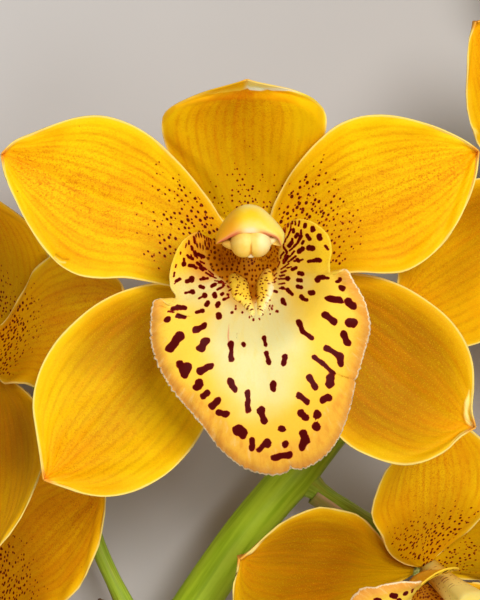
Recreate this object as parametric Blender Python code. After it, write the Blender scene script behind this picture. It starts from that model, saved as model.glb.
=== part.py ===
"""A cut stem of a yellow cymbidium orchid, lying on a surface.

Six open blooms and three buds stand on one scape. Lengths are metres, +Z is up,
+X runs along the scape from its cut end to its tip, and the origin is under the
middle of the whole stem, on the surface.

Every bloom is built in a frame of its own: x to the bloom's right, y towards its
top sepal and z out of its face. The outlines of one bloom are drawn on a flat
sheet, in steps of SHEET millimetres, seen from the eye that looks at its face,
and each point is then moved along its line of sight to its own depth.
"""

import math

import bmesh
import bpy
import numpy as np
from mathutils import Matrix, Vector

MM = 0.001

# ---- driving dimensions, in millimetres ----
SHEET = 0.230            # size of one step of the drawing sheet
EYE = 520.0              # distance of the eye from the bloom's base plane
CENTRE = (250.0, 241.0)  # where the column stands on the sheet
AXIS = (240.0, 300.0)    # where the eye's line meets the sheet
TEPAL = 1.0              # thickness of sepals and petals
LIP = 1.1                # thickness of the lip
SCAPE_RADII = [(0.0, 6.6), (0.62, 5.4), (0.80, 4.2), (1.0, 1.9)]   # share of its length, radius
BLOOM_SCALE = 0.95       # side blooms beside the front bloom

# The bottom centre of the whole stem, measured in the frame it is drawn in
ORIGIN = (-114.07, 16.63, 0.0)

# ---- outlines on the sheet, from the claw to the tip ----
DORSAL = (
    [(243, 221), (230, 211), (208, 194), (186, 172), (171, 154), (163.5, 138), (161.8, 126),
     (164, 115), (171, 107), (182, 101), (203, 92.5), (226, 86), (240, 82), (247, 79.5)],
    [(257, 221), (269, 211), (288, 194), (307, 170), (319, 150), (325, 134), (326.5, 122),
     (325, 112), (318, 102.5), (307, 95), (291, 89.5), (272, 85.5), (257, 82.5), (247, 79.5)],
)
PETAL_LEFT = (
    [(233, 231), (222, 219), (211, 202.5), (198, 184.5), (183, 166.5), (167, 150.5), (150, 135.5),
     (129, 123.5), (104, 116), (80, 116.8), (56, 123.5), (34, 132.5), (15, 140.5), (1, 154)],
    [(230, 249), (216, 266), (198, 280), (176, 286.5), (152, 282.5), (126, 278), (100, 278.5),
     (79, 275.5), (61, 266), (44, 249), (28, 225), (15, 199.5), (5, 176), (1, 154)],
)
PETAL_RIGHT = (
    [(268, 231), (271, 214), (277, 198), (289, 176), (303, 157), (319, 140), (337, 125.5),
     (358, 117), (380, 114.7), (404, 117.5), (428, 124), (450, 133), (467, 142), (479, 151)],
    [(270, 249), (284, 260), (301, 268), (319, 272.5), (340, 273.5), (363, 272.5), (385, 273.5),
     (405, 271.5), (424, 261), (442, 245), (456, 225.5), (468, 201), (476, 176), (479, 151)],
)
SEPAL_LEFT = (
    [(232, 252), (214, 261), (194, 272), (170, 280.5), (146, 284.5), (120, 292), (95, 305),
     (72, 324), (53, 345.5), (39, 372), (32.7, 402), (36, 432), (40, 457), (43.4, 480)],
    [(241, 260), (239, 282), (235, 315), (228, 352), (218, 392), (206, 424), (191, 449),
     (171, 470.5), (149, 485), (126, 494), (103, 496.8), (82, 493.5), (62, 486.5), (43.4, 480)],
)
SEPAL_RIGHT = (
    [(268, 252), (287, 259), (309, 265), (334, 270), (358, 273.5), (382, 278), (407, 288),
     (430, 302.5), (449, 318.5), (464, 339), (472.5, 362), (474, 386), (472, 409), (476, 427.5)],
    [(259, 260), (263, 282), (273, 315), (288, 352), (308, 392), (330, 426), (350, 446),
     (371, 456.8), (392, 463.5), (410, 464.8), (428, 460.5), (446, 450.5), (460, 437), (476, 427.5)],
)
# The lip: stations round its margin, left side lobe to right side lobe, each with the
# point that its line from the throat bends over.
LIP_STATIONS = [
    ((208, 240), (224, 243)), ((199.5, 232.4), (219, 246)), ((190.5, 234.8), (214, 250)),
    ((181.5, 242.5), (210, 256)), ((174.5, 256), (208, 264)), ((170, 272), (208, 274)),
    ((170.5, 287), (209, 285)), ((175.5, 296.5), (211, 294)), ((171, 302.5), (211, 301)),
    ((160, 298.8), (211, 306)), ((152.8, 305), (212, 311)), ((150.5, 326), (214, 318)),
    ((152.5, 349), (217, 326)), ((162, 373), (221, 334)), ((177, 396), (226, 341)),
    ((199, 421), (233, 347)), ((221, 449.5), (241, 352)), ((245, 468), (250, 355)),
    ((270, 474.8), (258, 356)), ((286, 472.5), (265, 355)), ((291.5, 468.8), (269, 354)),
    ((303, 468.5), (274, 352)), ((322, 458.5), (281, 349)), ((337.5, 440), (288, 344)),
    ((349, 411), (294, 337)), ((356, 381), (299, 329)), ((364.5, 352), (302, 321)),
    ((369.8, 329), (304, 313)), ((366, 304), (305, 304)), ((356.5, 286), (304, 296)),
    ((347, 269.8), (303, 288)), ((339, 273), (301, 281)), ((331, 275.5), (299, 275)),
    ((329.5, 264), (298, 266)), ((331.5, 249), (296, 256)), ((327, 234), (293, 248)),
    ((312, 222), (288, 242)), ((297, 219.3), (283, 238)), ((286, 224), (278, 237)),
]
THROAT = (251.5, 259.0)  # middle of the lip's funnel on the sheet

# ---- where each bloom sits: centre, the way its face looks, the way its top sepal
# points, size, mirrored, how far its sepals and petals close forward (degrees),
# the place on the scape its stalk leaves, and the way it leaves ----
UP = (0.812, 0.584, 0.0)
BLOOMS = {
    "bloom_1": dict(at=(-146, -46, 23.5), face=(-0.10, -0.66, 0.75), top=(0.95, -0.2, 0.0),
                    size=0.96, mirror=False, close=5, node=-174, leaves=(0.3, -0.9, 0.1)),
    "bloom_2": dict(at=(-112, 44, 16.31), face=(-0.12, 0.52, 0.85), top=(0.62, 0.78, 0.0),
                    size=0.95, mirror=False, close=6, node=-138, leaves=(0.3, 0.9, 0.0)),
    "bloom_3": dict(at=(-40, -42, 15.4), face=(-0.08, -0.50, 0.86), top=(0.90, -0.40, 0.0),
                    size=0.94, mirror=True, close=6, node=-40, leaves=(0.1, -0.95, -0.1), bract=20.0),
    "bloom_4": dict(at=(-56, 81, 21.72), face=(-0.10, 0.63, 0.77), top=(0.90, 0.30, 0.0),
                    size=0.95, mirror=True, close=6, node=-94, leaves=(0.3, 0.9, -0.1)),
    "front_bloom": dict(at=(0, 42, 66), face=(0, 0, 1), top=UP,
                        size=1.0, mirror=False, close=0, node=-22, leaves=(0.1, 0.8, 0.6)),
    "bloom_5": dict(at=(61, -17, 34), face=(0.12, -0.32, 0.94), top=(0.983, 0.186, 0.0),
                    size=0.93, mirror=False, close=6, node=26, leaves=(0.5, -0.6, 0.6)),
}
FRONT = "front_bloom"


def crv(points, n):
    """n points spread evenly by length along the smooth line through the given ones."""
    p = np.array(points, float)
    p = np.vstack([2 * p[0] - p[1], p, 2 * p[-1] - p[-2]])
    fine = []
    for i in range(1, len(p) - 2):
        a, b, c, d = p[i - 1], p[i], p[i + 1], p[i + 2]
        for k in range(12):
            t = k / 12
            fine.append(0.5 * (2 * b + (c - a) * t + (2 * a - 5 * b + 4 * c - d) * t * t
                               + (3 * b - a - 3 * c + d) * t ** 3))
    fine.append(p[-2])
    fine = np.array(fine)
    along = np.concatenate([[0], np.cumsum(np.linalg.norm(np.diff(fine, axis=0), axis=1))])
    at = np.asarray(n) * along[-1] if np.ndim(n) else np.linspace(0, along[-1], n)
    return np.stack([np.interp(at, along, fine[:, k]) for k in range(p.shape[1])], axis=1)


def smooth(a, b, x):
    t = np.clip((x - a) / (b - a), 0, 1)
    return t * t * (3 - 2 * t)


def to_space(u, v, z):
    """A point of the sheet, moved along its line of sight to depth z: millimetres in the bloom's frame."""
    k = (EYE - z) / EYE
    x = (u - AXIS[0]) * SHEET * k + (AXIS[0] - CENTRE[0]) * SHEET
    y = (AXIS[1] - v) * SHEET * k + (CENTRE[1] - AXIS[1]) * SHEET
    return np.stack([x, y, z], axis=-1)


# Depth of each part over the base plane. u, v are places on the sheet, t runs from claw
# to tip and s across, from -1 on the first outline to 1 on the second.
def depth_dorsal(u, v, t, s):
    f = np.clip((CENTRE[1] - v) / 161.0, 0, 1.05)
    back = 2.2 * s * s * np.sin(np.pi * np.clip(f, 0, 1)) ** 0.8
    return 0.6 + 29.0 * f ** 2.4 - back + 4.5 * s * s * smooth(0.75, 1.0, t)


def depth_petal(u, v, t, s):
    r = np.hypot(u - CENTRE[0], v - CENTRE[1]) / 240.0
    cup = np.where(s < 0, 4.6, 2.6) * s * s * smooth(0.05, 0.4, t) * (1 - 0.45 * smooth(0.6, 1, t))
    return 2.2 + 6.0 * (1 - (1 - np.clip(r, 0, 1)) ** 2) + 1.5 * r ** 4 + cup


def depth_lateral(u, v, t, s):
    r = np.hypot(u - CENTRE[0], v - CENTRE[1]) / 290.0
    cup = 3.2 * s * s * np.sin(np.pi * np.clip(t, 0, 1)) ** 0.7
    return 0.6 + 1.2 * r + 8.5 * r ** 3 + cup


def depth_lip(u, v):
    du, dv = u - THROAT[0], v - THROAT[1]
    r = np.hypot(du * 1.0, dv * np.where(dv > 0, 0.92, 1.05))
    funnel = 3.6 + 8.2 * smooth(4, 46, r) + 15.5 * smooth(24, 92, r) + 3.6 * smooth(70, 150, r)
    cap = 31.5 - 6.5 * ((u - 259) / 109.0) ** 2 * smooth(285, 350, v) - 8.5 * (np.clip(v - 378, 0, None) / 96.0) ** 2
    lobes = 30.0 - 0.0 * u
    top = np.where(v > 300, cap, lobes + (cap - lobes) * smooth(250, 300, v))
    k = 2.2
    return -k * np.log(np.exp(-funnel / k) + np.exp(-top / k))


def blade(outline, depth, nu, nv, close, angle):
    """A grid of points over a sepal or petal, (nu + 1) rows of (nv + 1), in the bloom's frame, and its tip.
    close turns it forward about its claw; angle is the way it points, in degrees on the sheet."""
    t = np.linspace(0, 1, nu + 1) ** 0.92
    a, b = crv(outline[0], t), crv(outline[1], t)
    s = np.sin(np.linspace(-1, 1, nv + 1) * np.pi / 2 * 0.92) / math.sin(np.pi / 2 * 0.92)
    T, S = np.meshgrid(t, s, indexing="ij")
    u = (a[:, None, 0] * (1 - S) + b[:, None, 0] * (1 + S)) / 2
    v = (a[:, None, 1] * (1 - S) + b[:, None, 1] * (1 + S)) / 2
    p = to_space(u, v, depth(u, v, T, S))
    if close:
        out = np.array([math.cos(math.radians(angle)), math.sin(math.radians(angle)), 0.0])
        far = np.clip(p @ out - 4.0, 0, None)
        turn = math.radians(close) * smooth(0, 30, far)
        keep = (p @ out)[..., None] * out
        side = p - keep
        far2 = 4.0 + (p @ out - 4.0) * np.cos(turn)
        lift = np.clip(p @ out - 4.0, 0, None) * np.sin(turn)
        p = side + far2[..., None] * out + lift[..., None] * np.array([0, 0, 1.0])
    return p


def lip_points(nt, nw):
    """A grid over the lip: nt + 1 lines from the throat, each of nw + 1 points."""
    t = np.linspace(0, 1, nt + 1)
    edge = crv([m for m, _ in LIP_STATIONS], 40 * 12)
    stations = np.array(LIP_STATIONS, float)
    place = np.linspace(0, len(stations) - 1, nt + 1)
    idx = np.arange(len(stations))
    # margin and bend points at even steps of the station number, rounded by the spline
    m = station_curve(stations[:, 0], place)
    c = station_curve(stations[:, 1], place)
    ang = np.radians(150 + 240 * t)
    i = np.stack([THROAT[0] - 1.5 + 15 * np.cos(ang), THROAT[1] - 3 - 12 * np.sin(ang)], axis=1)
    w = np.linspace(0, 1, nw + 1)[None, :, None]
    q = (1 - w) ** 2 * i[:, None] + 2 * w * (1 - w) * c[:, None] + w ** 2 * m[:, None]
    return to_space(q[..., 0], q[..., 1], depth_lip(q[..., 0], q[..., 1]))


def station_curve(points, place):
    """The smooth line through the points, read at fractional point numbers."""
    p = np.vstack([2 * points[0] - points[1], points, 2 * points[-1] - points[-2], 3 * points[-1] - 2 * points[-2]])
    i = np.minimum(place.astype(int), len(points) - 2)
    t = (place - i)[:, None]
    a, b, c, d = p[i], p[i + 1], p[i + 2], p[i + 3]
    return 0.5 * (2 * b + (c - a) * t + (2 * a - 5 * b + 4 * c - d) * t * t + (3 * b - a - 3 * c + d) * t ** 3)


def clear_scene():
    for o in list(bpy.data.objects):
        bpy.data.objects.remove(o)


def material(name, colour, roughness):
    m = bpy.data.materials.get(name)
    if m is None:
        m = bpy.data.materials.new(name)
        m.use_nodes = True
        shader = m.node_tree.nodes["Principled BSDF"]
        shader.inputs["Base Color"].default_value = (*colour, 1)
        shader.inputs["Roughness"].default_value = roughness
        shader.inputs["Metallic"].default_value = 0.0
    return m


YELLOW = ("tepal_yellow", (0.86, 0.47, 0.02), 0.45)
LIP_YELLOW = ("lip_yellow", (0.90, 0.62, 0.16), 0.45)
COLUMN_YELLOW = ("column_yellow", (0.88, 0.62, 0.10), 0.35)
CREAM = ("anther_cream", (0.90, 0.72, 0.30), 0.35)
GREEN = ("stem_green", (0.16, 0.27, 0.03), 0.42)
STALK = ("stalk_green", (0.35, 0.40, 0.06), 0.42)
TAN = ("bract_tan", (0.50, 0.30, 0.16), 0.6)
BUD = ("bud_green_yellow", (0.60, 0.50, 0.06), 0.42)


def add_object(name, mesh_or_curve, finish, parent=None):
    o = bpy.data.objects.new(name, mesh_or_curve)
    bpy.context.scene.collection.objects.link(o)
    mesh_or_curve.materials.append(material(*finish))
    if parent is not None:
        o.parent = parent
    return o


def sheet_object(name, grid, thickness, finish, parent, tip=False, mirror=False):
    """A thin closed solid: a grid of faces, thickened by a Solidify modifier. With tip, the last row is one point."""
    nu, nv = grid.shape[0] - 1, grid.shape[1] - 1
    bm = bmesh.new()
    rows = []
    for i in range(nu + 1):
        if tip and i == nu:
            rows.append([bm.verts.new(grid[i, nv // 2] * MM)] * (nv + 1))
        else:
            rows.append([bm.verts.new(grid[i, j] * MM) for j in range(nv + 1)])
    for i in range(nu):
        for j in range(nv):
            corners = [rows[i][j], rows[i + 1][j], rows[i + 1][j + 1], rows[i][j + 1]]
            unique = list(dict.fromkeys(corners))
            if mirror:
                unique.reverse()
            bm.faces.new(unique)
    bmesh.ops.triangulate(bm, faces=bm.faces[:], quad_method="SHORT_EDGE")
    bm.normal_update()
    mesh = bpy.data.meshes.new(name)
    bm.to_mesh(mesh)
    bm.free()
    mesh.shade_smooth()
    o = add_object(name, mesh, finish, parent)
    skin = o.modifiers.new("thickness", "SOLIDIFY")
    skin.thickness = thickness * MM
    skin.offset = 0.0
    skin.use_rim = True
    return o


def ring_object(name, rings, finish, parent):
    """A closed solid skinned over rings of points, with a flat or pointed face at each end."""
    bm = bmesh.new()
    loops = [[bm.verts.new(p * MM) for p in ring] for ring in rings]
    n = len(loops[0])
    for a, b in zip(loops[:-1], loops[1:]):
        for k in range(n):
            bm.faces.new([a[k], a[(k + 1) % n], b[(k + 1) % n], b[k]])
    bm.faces.new(list(reversed(loops[0])))
    bm.faces.new(loops[-1])
    bmesh.ops.recalc_face_normals(bm, faces=bm.faces[:])
    bmesh.ops.triangulate(bm, faces=bm.faces[:])
    mesh = bpy.data.meshes.new(name)
    bm.to_mesh(mesh)
    bm.free()
    mesh.shade_smooth()
    mesh.set_sharp_from_angle(angle=math.radians(50))
    return add_object(name, mesh, finish, parent)


def column_rings(n_rings, n_round):
    """The column: an arched club, round above and flat below, that widens into a hood."""
    rings = []
    for i in range(n_rings):
        f = i / (n_rings - 1)
        z = 0.0 + 29.5 * f
        cy = 0.6 * f + 2.6 * f * f
        wide = 3.1 + 1.6 * f + 3.1 * smooth(0.55, 0.92, f) - 2.2 * smooth(0.9, 1.0, f)
        high = 3.0 + 1.1 * f + 1.7 * smooth(0.5, 0.9, f) - 1.3 * smooth(0.9, 1.0, f)
        low = 2.6 - 1.2 * smooth(0.35, 0.8, f)
        ring = []
        for k in range(n_round):
            a = 2 * np.pi * k / n_round
            h = high if math.sin(a) > 0 else low
            ring.append(np.array([wide * math.cos(a), cy + h * math.sin(a), z]))
        rings.append(ring)
    return rings


def cap_rings(n_rings, n_round):
    """The anther cap: a two-lobed knob under the hood, flattened against it."""
    rings = []
    for i in range(n_rings):
        f = i / (n_rings - 1)
        b = math.sin(math.pi * (0.08 + 0.84 * f))
        ring = []
        for k in range(n_round):
            a = 2 * np.pi * k / n_round
            groove = 1 - 0.10 * math.exp(-((math.cos(a)) / 0.28) ** 2) * (math.sin(a) < 0)
            x = 4.9 * b * math.cos(a)
            y = -2.0 + 2.5 * b * math.sin(a) * groove
            ring.append(np.array([x - 0.3, y, 24.6 + 6.6 * f]))
        rings.append(ring)
    return rings


def stalk(name, points, radii, finish, sides=2):
    """A round tapering stalk: a beveled curve with a radius at each point."""
    curve = bpy.data.curves.new(name, "CURVE")
    curve.dimensions = "3D"
    curve.bevel_depth = 1.0 * MM
    curve.bevel_resolution = sides
    curve.use_fill_caps = True
    spline = curve.splines.new("POLY")
    spline.points.add(len(points) - 1)
    for p, q, r in zip(spline.points, points, radii):
        p.co = (*(Vector(q) * MM), 1)
        p.radius = r
    return add_object(name, curve, finish)


def bezier(a, b, c, d, n):
    t = np.linspace(0, 1, n)[:, None]
    a, b, c, d = (np.array(x, float) for x in (a, b, c, d))
    return (1 - t) ** 3 * a + 3 * (1 - t) ** 2 * t * b + 3 * (1 - t) * t * t * c + t ** 3 * d


# ---- the scape ----
SCAPE_LINE = [(-392, 8, 6.6), (-340, 4, 9.5), (-285, 1, 13), (-232, -1, 16.5), (-165, 1, 20),
              (-128, -1, 21), (-64, 1, 21.5), (-26, -1, 21.5), (34, 1, 20.5), (78, -1, 16.5),
              (104, 1, 12.5), (128, -0.5, 8.6), (150, 1, 5.2)]


def scape_radius(f):
    return np.interp(f, [a for a, _ in SCAPE_RADII], [r for _, r in SCAPE_RADII])


def scape_at(x):
    """The middle of the scape and its radius where it passes x."""
    line = crv(SCAPE_LINE, 400)
    i = int(np.argmin(abs(line[:, 0] - x)))
    return line[i], float(scape_radius(i / 399))


def unit(v):
    v = np.array(v, float)
    return v / np.linalg.norm(v)


def bloom_frame(name, at, face, top):
    z = Vector(unit(face))
    y = Vector(top) - Vector(top).dot(z) * z
    y.normalize()
    x = y.cross(z)
    empty = bpy.data.objects.new(name, None)
    bpy.context.scene.collection.objects.link(empty)
    turn = Matrix((x, y, z)).transposed().to_4x4()
    empty.matrix_world = Matrix.Translation(Vector(at) * MM) @ turn
    return empty, np.array([x[:], y[:], z[:]])


def build_bloom(name, spec):
    main = name == FRONT
    at = np.array(spec["at"], float) - ORIGIN
    frame, axes = bloom_frame(name + "_frame", at, spec["face"], spec["top"])
    size, flip = spec["size"], -1.0 if spec["mirror"] else 1.0
    scale = np.array([flip * size, size, size])
    nu, nv = (10, 6) if main else (7, 4)
    parts = {
        "dorsal_sepal": (DORSAL, depth_dorsal, 90),
        "petal_left": (PETAL_LEFT, depth_petal, 162),
        "petal_right": (PETAL_RIGHT, depth_petal, 18),
        "lateral_sepal_left": (SEPAL_LEFT, depth_lateral, 228),
        "lateral_sepal_right": (SEPAL_RIGHT, depth_lateral, 323),
    }
    for part, (outline, depth, angle) in parts.items():
        grid = blade(outline, depth, nu, nv, spec["close"], angle) * scale
        sheet_object(f"{name}_{part}", grid, TEPAL, YELLOW, frame, tip=True, mirror=flip < 0)
    lip = lip_points(*((36, 6) if main else (20, 4))) * scale
    sheet_object(f"{name}_lip", lip, LIP, LIP_YELLOW, frame, mirror=flip < 0)
    ring_object(f"{name}_column", [[p * scale for p in r] for r in column_rings(*((8, 12) if main else (5, 8)))],
                COLUMN_YELLOW, frame)
    if main:
        ring_object(f"{name}_anther_cap", [[p * scale for p in r] for r in cap_rings(7, 12)], CREAM, frame)
    # the stalk and ovary, from the scape to the back of the bloom
    middle, radius = scape_at(spec["node"])
    middle = middle - ORIGIN
    away = unit(spec["leaves"])
    side = unit([0, away[1], away[2]])
    start = middle + side * (radius + 0.7)
    back = at - axes[2] * 0.45
    reach = np.linalg.norm(back - start)
    first = start + side * 0.12 * reach + away * 0.22 * reach
    line = bezier(start, first, back - axes[2] * 0.42 * reach, back - axes[2] * 2.4, 9)
    line[1] = start + side * 2.5
    line = np.vstack([line, back - axes[2] * 0.9, back])
    widths = np.interp(np.linspace(0, 1, 11), [0, 0.12, 0.4, 0.7, 0.88, 1], [2.6, 2.2, 2.1, 3.1, 3.4, 4.2])
    stalk(f"{name}_stalk", line, widths * size, STALK)
    build_bract(f"{name}_bract", line, 2.6 * size, spec.get("bract", 13.0))


def build_bract(name, line, widths, length):
    """A small pointed scale that clasps the stalk's foot on the side of the scape's cut end."""
    along = np.array([1.0, 0.0, 0.0])
    fine = crv(line, 200)
    travel = np.concatenate([[0], np.cumsum(np.linalg.norm(np.diff(fine, axis=0), axis=1))])
    nu, nv = 5, 4
    grid = np.zeros((nu + 1, nv + 1, 3))
    for i in range(nu + 1):
        t = i / nu
        k = min(int(np.searchsorted(travel, 1.2 + length * t)), len(fine) - 2)
        heading = unit(fine[k + 1] - fine[k])
        out = -along + heading * float(along @ heading)
        out = unit(out)
        across = np.cross(heading, out)
        r = widths + 1.15 + 1.5 * t * t
        for j in range(nv + 1):
            a = math.radians(88) * (j / nv * 2 - 1) * math.sqrt(max(1e-3, 1 - t ** 1.8))
            point = fine[k] + out * (r * math.cos(a)) + across * (r * math.sin(a))
            middle, radius = scape_at(point[0] + ORIGIN[0])
            off = (point - (middle - ORIGIN)) * np.array([0.0, 1.0, 1.0])
            short = radius + 1.3 - np.linalg.norm(off)
            grid[i, j] = point + unit(off) * max(0.0, short)
    sheet_object(name, grid, 0.7, TAN, None, tip=True)


BUDS = {
    "bud_1": dict(node=78, leaves=(0.45, 0.85, 0.30), heading=(0.80, 0.45, 0.40), stem=27, body=37, wide=8.4),
    "bud_2": dict(node=104, leaves=(0.55, -0.85, -0.05), heading=(0.88, -0.44, -0.165), stem=22, body=31, wide=7.0),
    "bud_3": dict(node=128, leaves=(0.60, 0.75, 0.25), heading=(0.93, 0.30, 0.12), stem=17, body=25, wide=5.6),
}


def build_bud(name, spec):
    middle, radius = scape_at(spec["node"])
    middle = middle - ORIGIN
    away, heading = unit(spec["leaves"]), unit(spec["heading"])
    side = unit([0, away[1], away[2]])
    start = middle + side * (radius + 0.7)
    length = spec["stem"] + spec["body"]
    end = start + side * 0.30 * spec["stem"] + heading * (length - 0.25 * spec["stem"])
    line = bezier(start, start + side * 0.35 * spec["stem"] + away * 0.2 * spec["stem"], end - heading * 0.55 * length, end, 15)
    line[1] = start + side * 1.8
    share = spec["stem"] / length
    radii = []
    for i in range(15):
        f = i / 14
        if f < share:
            radii.append(1.8 + 0.5 * (f / share) ** 2)
        else:
            g = (f - share) / (1 - share)
            radii.append(2.3 + (spec["wide"] - 2.3) * math.sin(math.pi * min(g, 1) ** 0.78) ** 0.72 if g < 0.6
                         else spec["wide"] * max(0.10, math.sqrt(max(0.0, 1 - ((g - 0.45) / 0.56) ** 2))))
    stalk(name, line, radii, BUD)


def build_sheath():
    """A long scale that wraps the bare scape at a joint, open along one side."""
    nu, nv = 9, 8
    grid = np.zeros((nu + 1, nv + 1, 3))
    for i in range(nu + 1):
        t = i / nu
        middle, radius = scape_at(-330 + 62 * t)
        middle = middle - ORIGIN
        span = math.radians(150) * (1 - 0.75 * smooth(0.35, 1.0, np.float64(t)))
        for j in range(nv + 1):
            a = (j / nv * 2 - 1) * span + math.radians(100)
            r = radius + 1.0 + 1.6 * t ** 3
            grid[i, j] = middle + np.array([0, r * math.cos(a), r * math.sin(a)])
    sheet_object("sheath", grid, 0.7, TAN, None, tip=False)


def build_scape():
    line = crv(SCAPE_LINE, 46) - ORIGIN
    stalk("scape", line, scape_radius(np.linspace(0, 1, len(line))), GREEN)


def main():
    clear_scene()
    build_scape()
    build_sheath()
    for name, spec in BLOOMS.items():
        build_bloom(name, spec)
    for name, spec in BUDS.items():
        build_bud(name, spec)
    bpy.context.view_layer.update()


main()
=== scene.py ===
"""The looks of a cut cymbidium orchid stem that lies on a pale floor, seen from above.

Every piece stands for one node of the frame and lies where that node lies. The outlines of a
bloom are drawn on a flat sheet, in steps of SHEET millimetres, and moved along the line of
sight of the eye that looks at its face, as the frame's are, only finer.
"""

import math

import bpy
import numpy as np
from mathutils import Matrix, Vector


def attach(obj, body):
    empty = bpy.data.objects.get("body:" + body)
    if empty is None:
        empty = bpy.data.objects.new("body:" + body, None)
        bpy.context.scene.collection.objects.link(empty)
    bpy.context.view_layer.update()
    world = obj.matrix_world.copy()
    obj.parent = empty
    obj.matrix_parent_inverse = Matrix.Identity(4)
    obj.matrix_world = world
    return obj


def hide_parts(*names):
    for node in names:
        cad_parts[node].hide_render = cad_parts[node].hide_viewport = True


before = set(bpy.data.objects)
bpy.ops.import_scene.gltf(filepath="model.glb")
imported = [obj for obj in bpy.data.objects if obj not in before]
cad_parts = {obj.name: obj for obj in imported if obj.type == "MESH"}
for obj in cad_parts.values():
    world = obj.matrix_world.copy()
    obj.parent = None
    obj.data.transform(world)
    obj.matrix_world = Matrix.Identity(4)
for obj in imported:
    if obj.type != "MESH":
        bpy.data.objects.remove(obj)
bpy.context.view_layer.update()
bpy.context.scene.view_settings.view_transform = "Standard"
bpy.context.scene.view_settings.look = "None"

MM = 0.001
SHEET = 0.230
EYE = 520.0
CENTRE = (250.0, 241.0)
AXIS = (240.0, 300.0)
ORIGIN = np.array((-114.07, 16.63, 0.0))
SCAPE_RADII = [(0.0, 6.6), (0.62, 5.4), (0.80, 4.2), (1.0, 1.9)]

# ---------------------------------------------------------------- outlines
DORSAL = (
    [(239, 229), (217, 218), (197, 199.5), (179, 175), (169, 154), (163.5, 138), (161.8, 126),
     (164, 115), (171, 107), (182, 101), (203, 92.5), (226, 86), (240, 82), (247, 79.5)],
    [(261, 229), (281, 216), (300, 197), (314, 172), (320.5, 150), (325, 134), (326.5, 122),
     (325, 112), (318, 102.5), (307, 95), (291, 89.5), (272, 85.5), (257, 82.5), (247, 79.5)],
)
PETAL_LEFT = (
    [(233, 231), (222, 219), (211, 202.5), (198, 184.5), (183, 166.5), (167, 150.5), (150, 135.5),
     (129, 123.5), (104, 116), (80, 116.8), (56, 123.5), (34, 132.5), (15, 140.5), (1, 154)],
    [(230, 249), (216, 266), (198, 280), (176, 286.5), (152, 282.5), (126, 278), (100, 278.5),
     (79, 275.5), (61, 266), (44, 249), (28, 225), (15, 199.5), (5, 176), (1, 154)],
)
PETAL_RIGHT = (
    [(268, 231), (271, 214), (277, 198), (289, 176), (303, 157), (319, 140), (337, 125.5),
     (358, 117), (380, 114.7), (404, 117.5), (428, 124), (450, 133), (467, 142), (479, 151)],
    [(270, 249), (284, 260), (301, 268), (319, 272.5), (340, 273.5), (363, 272.5), (385, 273.5),
     (405, 271.5), (424, 261), (442, 245), (456, 225.5), (468, 201), (476, 176), (479, 151)],
)
SEPAL_LEFT = (
    [(232, 252), (214, 261), (194, 272), (170, 280.5), (146, 284.5), (120, 292), (95, 305),
     (72, 324), (53, 345.5), (39, 372), (32.7, 402), (36, 432), (40, 457), (43.4, 480)],
    [(241, 260), (239, 282), (235, 315), (228, 352), (218, 392), (206, 424), (191, 449),
     (171, 470.5), (149, 485), (126, 494), (103, 496.8), (82, 493.5), (62, 486.5), (43.4, 480)],
)
SEPAL_RIGHT = (
    [(268, 252), (287, 259), (309, 265), (334, 270), (358, 273.5), (382, 278), (407, 288),
     (430, 302.5), (449, 318.5), (464, 339), (472.5, 362), (474, 386), (472, 409), (476, 427.5)],
    [(259, 260), (263, 282), (273, 315), (288, 352), (308, 392), (330, 426), (350, 446),
     (371, 456.8), (392, 463.5), (410, 464.8), (428, 460.5), (446, 450.5), (460, 437), (476, 427.5)],
)
LIP_STATIONS = [
    ((208, 240), (224, 243)), ((199.5, 232.4), (219, 246)), ((190.5, 234.8), (214, 250)),
    ((181.5, 242.5), (210, 256)), ((174.5, 256), (208, 264)), ((170, 272), (208, 274)),
    ((170.5, 287), (209, 285)), ((175.8, 296.5), (211, 294)), ((168.5, 304.6), (211, 301)),
    ((158.6, 298.8), (211, 306)), ((152.6, 304.4), (212, 311)), ((150.5, 326), (214, 318)),
    ((152.5, 349), (217, 326)), ((162, 373), (221, 334)), ((177, 396), (226, 341)),
    ((199, 421), (233, 347)), ((221, 449.5), (241, 352)), ((245, 468), (250, 355)),
    ((270, 474.8), (258, 356)), ((286, 472.5), (265, 355)), ((291.5, 468.8), (269, 354)),
    ((303, 468.5), (274, 352)), ((322, 458.5), (281, 349)), ((337.5, 440), (288, 344)),
    ((349, 411), (294, 337)), ((356, 381), (299, 329)), ((364.5, 352), (302, 321)),
    ((369.8, 329), (304, 313)), ((366, 304), (305, 304)), ((356.5, 286), (304, 296)),
    ((347, 269.8), (303, 288)), ((339, 273), (301, 281)), ((331, 275.5), (299, 275)),
    ((329.5, 264), (298, 266)), ((331.5, 249), (296, 256)), ((327, 234), (293, 248)),
    ((312, 222), (288, 242)), ((297, 219.3), (283, 238)), ((286, 224), (278, 237)),
]
THROAT = (251.5, 259.0)

# The hood of the column: its skyline, its rim and its hidden underside, all from the right corner to the left, or back.
HOOD_SKY = [(283.6, 243), (284.4, 234), (279.5, 225.6), (270.5, 215.5), (260.5, 207.2), (249.5, 204.3), (239.5, 206.4),
            (230, 213.2), (221.5, 224), (216.5, 235), (215.4, 244)]
HOOD_RIM = [(281.2, 246.3), (279.3, 241.4), (276.3, 237.6), (269.5, 235.0), (261, 232.8), (250.5, 232.2), (240.5, 232.8),
            (232, 236.0), (225, 239.6), (219, 242.4), (215.6, 244.4)]
HOOD_UNDER = [(215.6, 244.4), (224, 244.0), (236, 247.0), (250, 248.5), (262, 247.0), (273, 241.5), (281.2, 246.3)]

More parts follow.
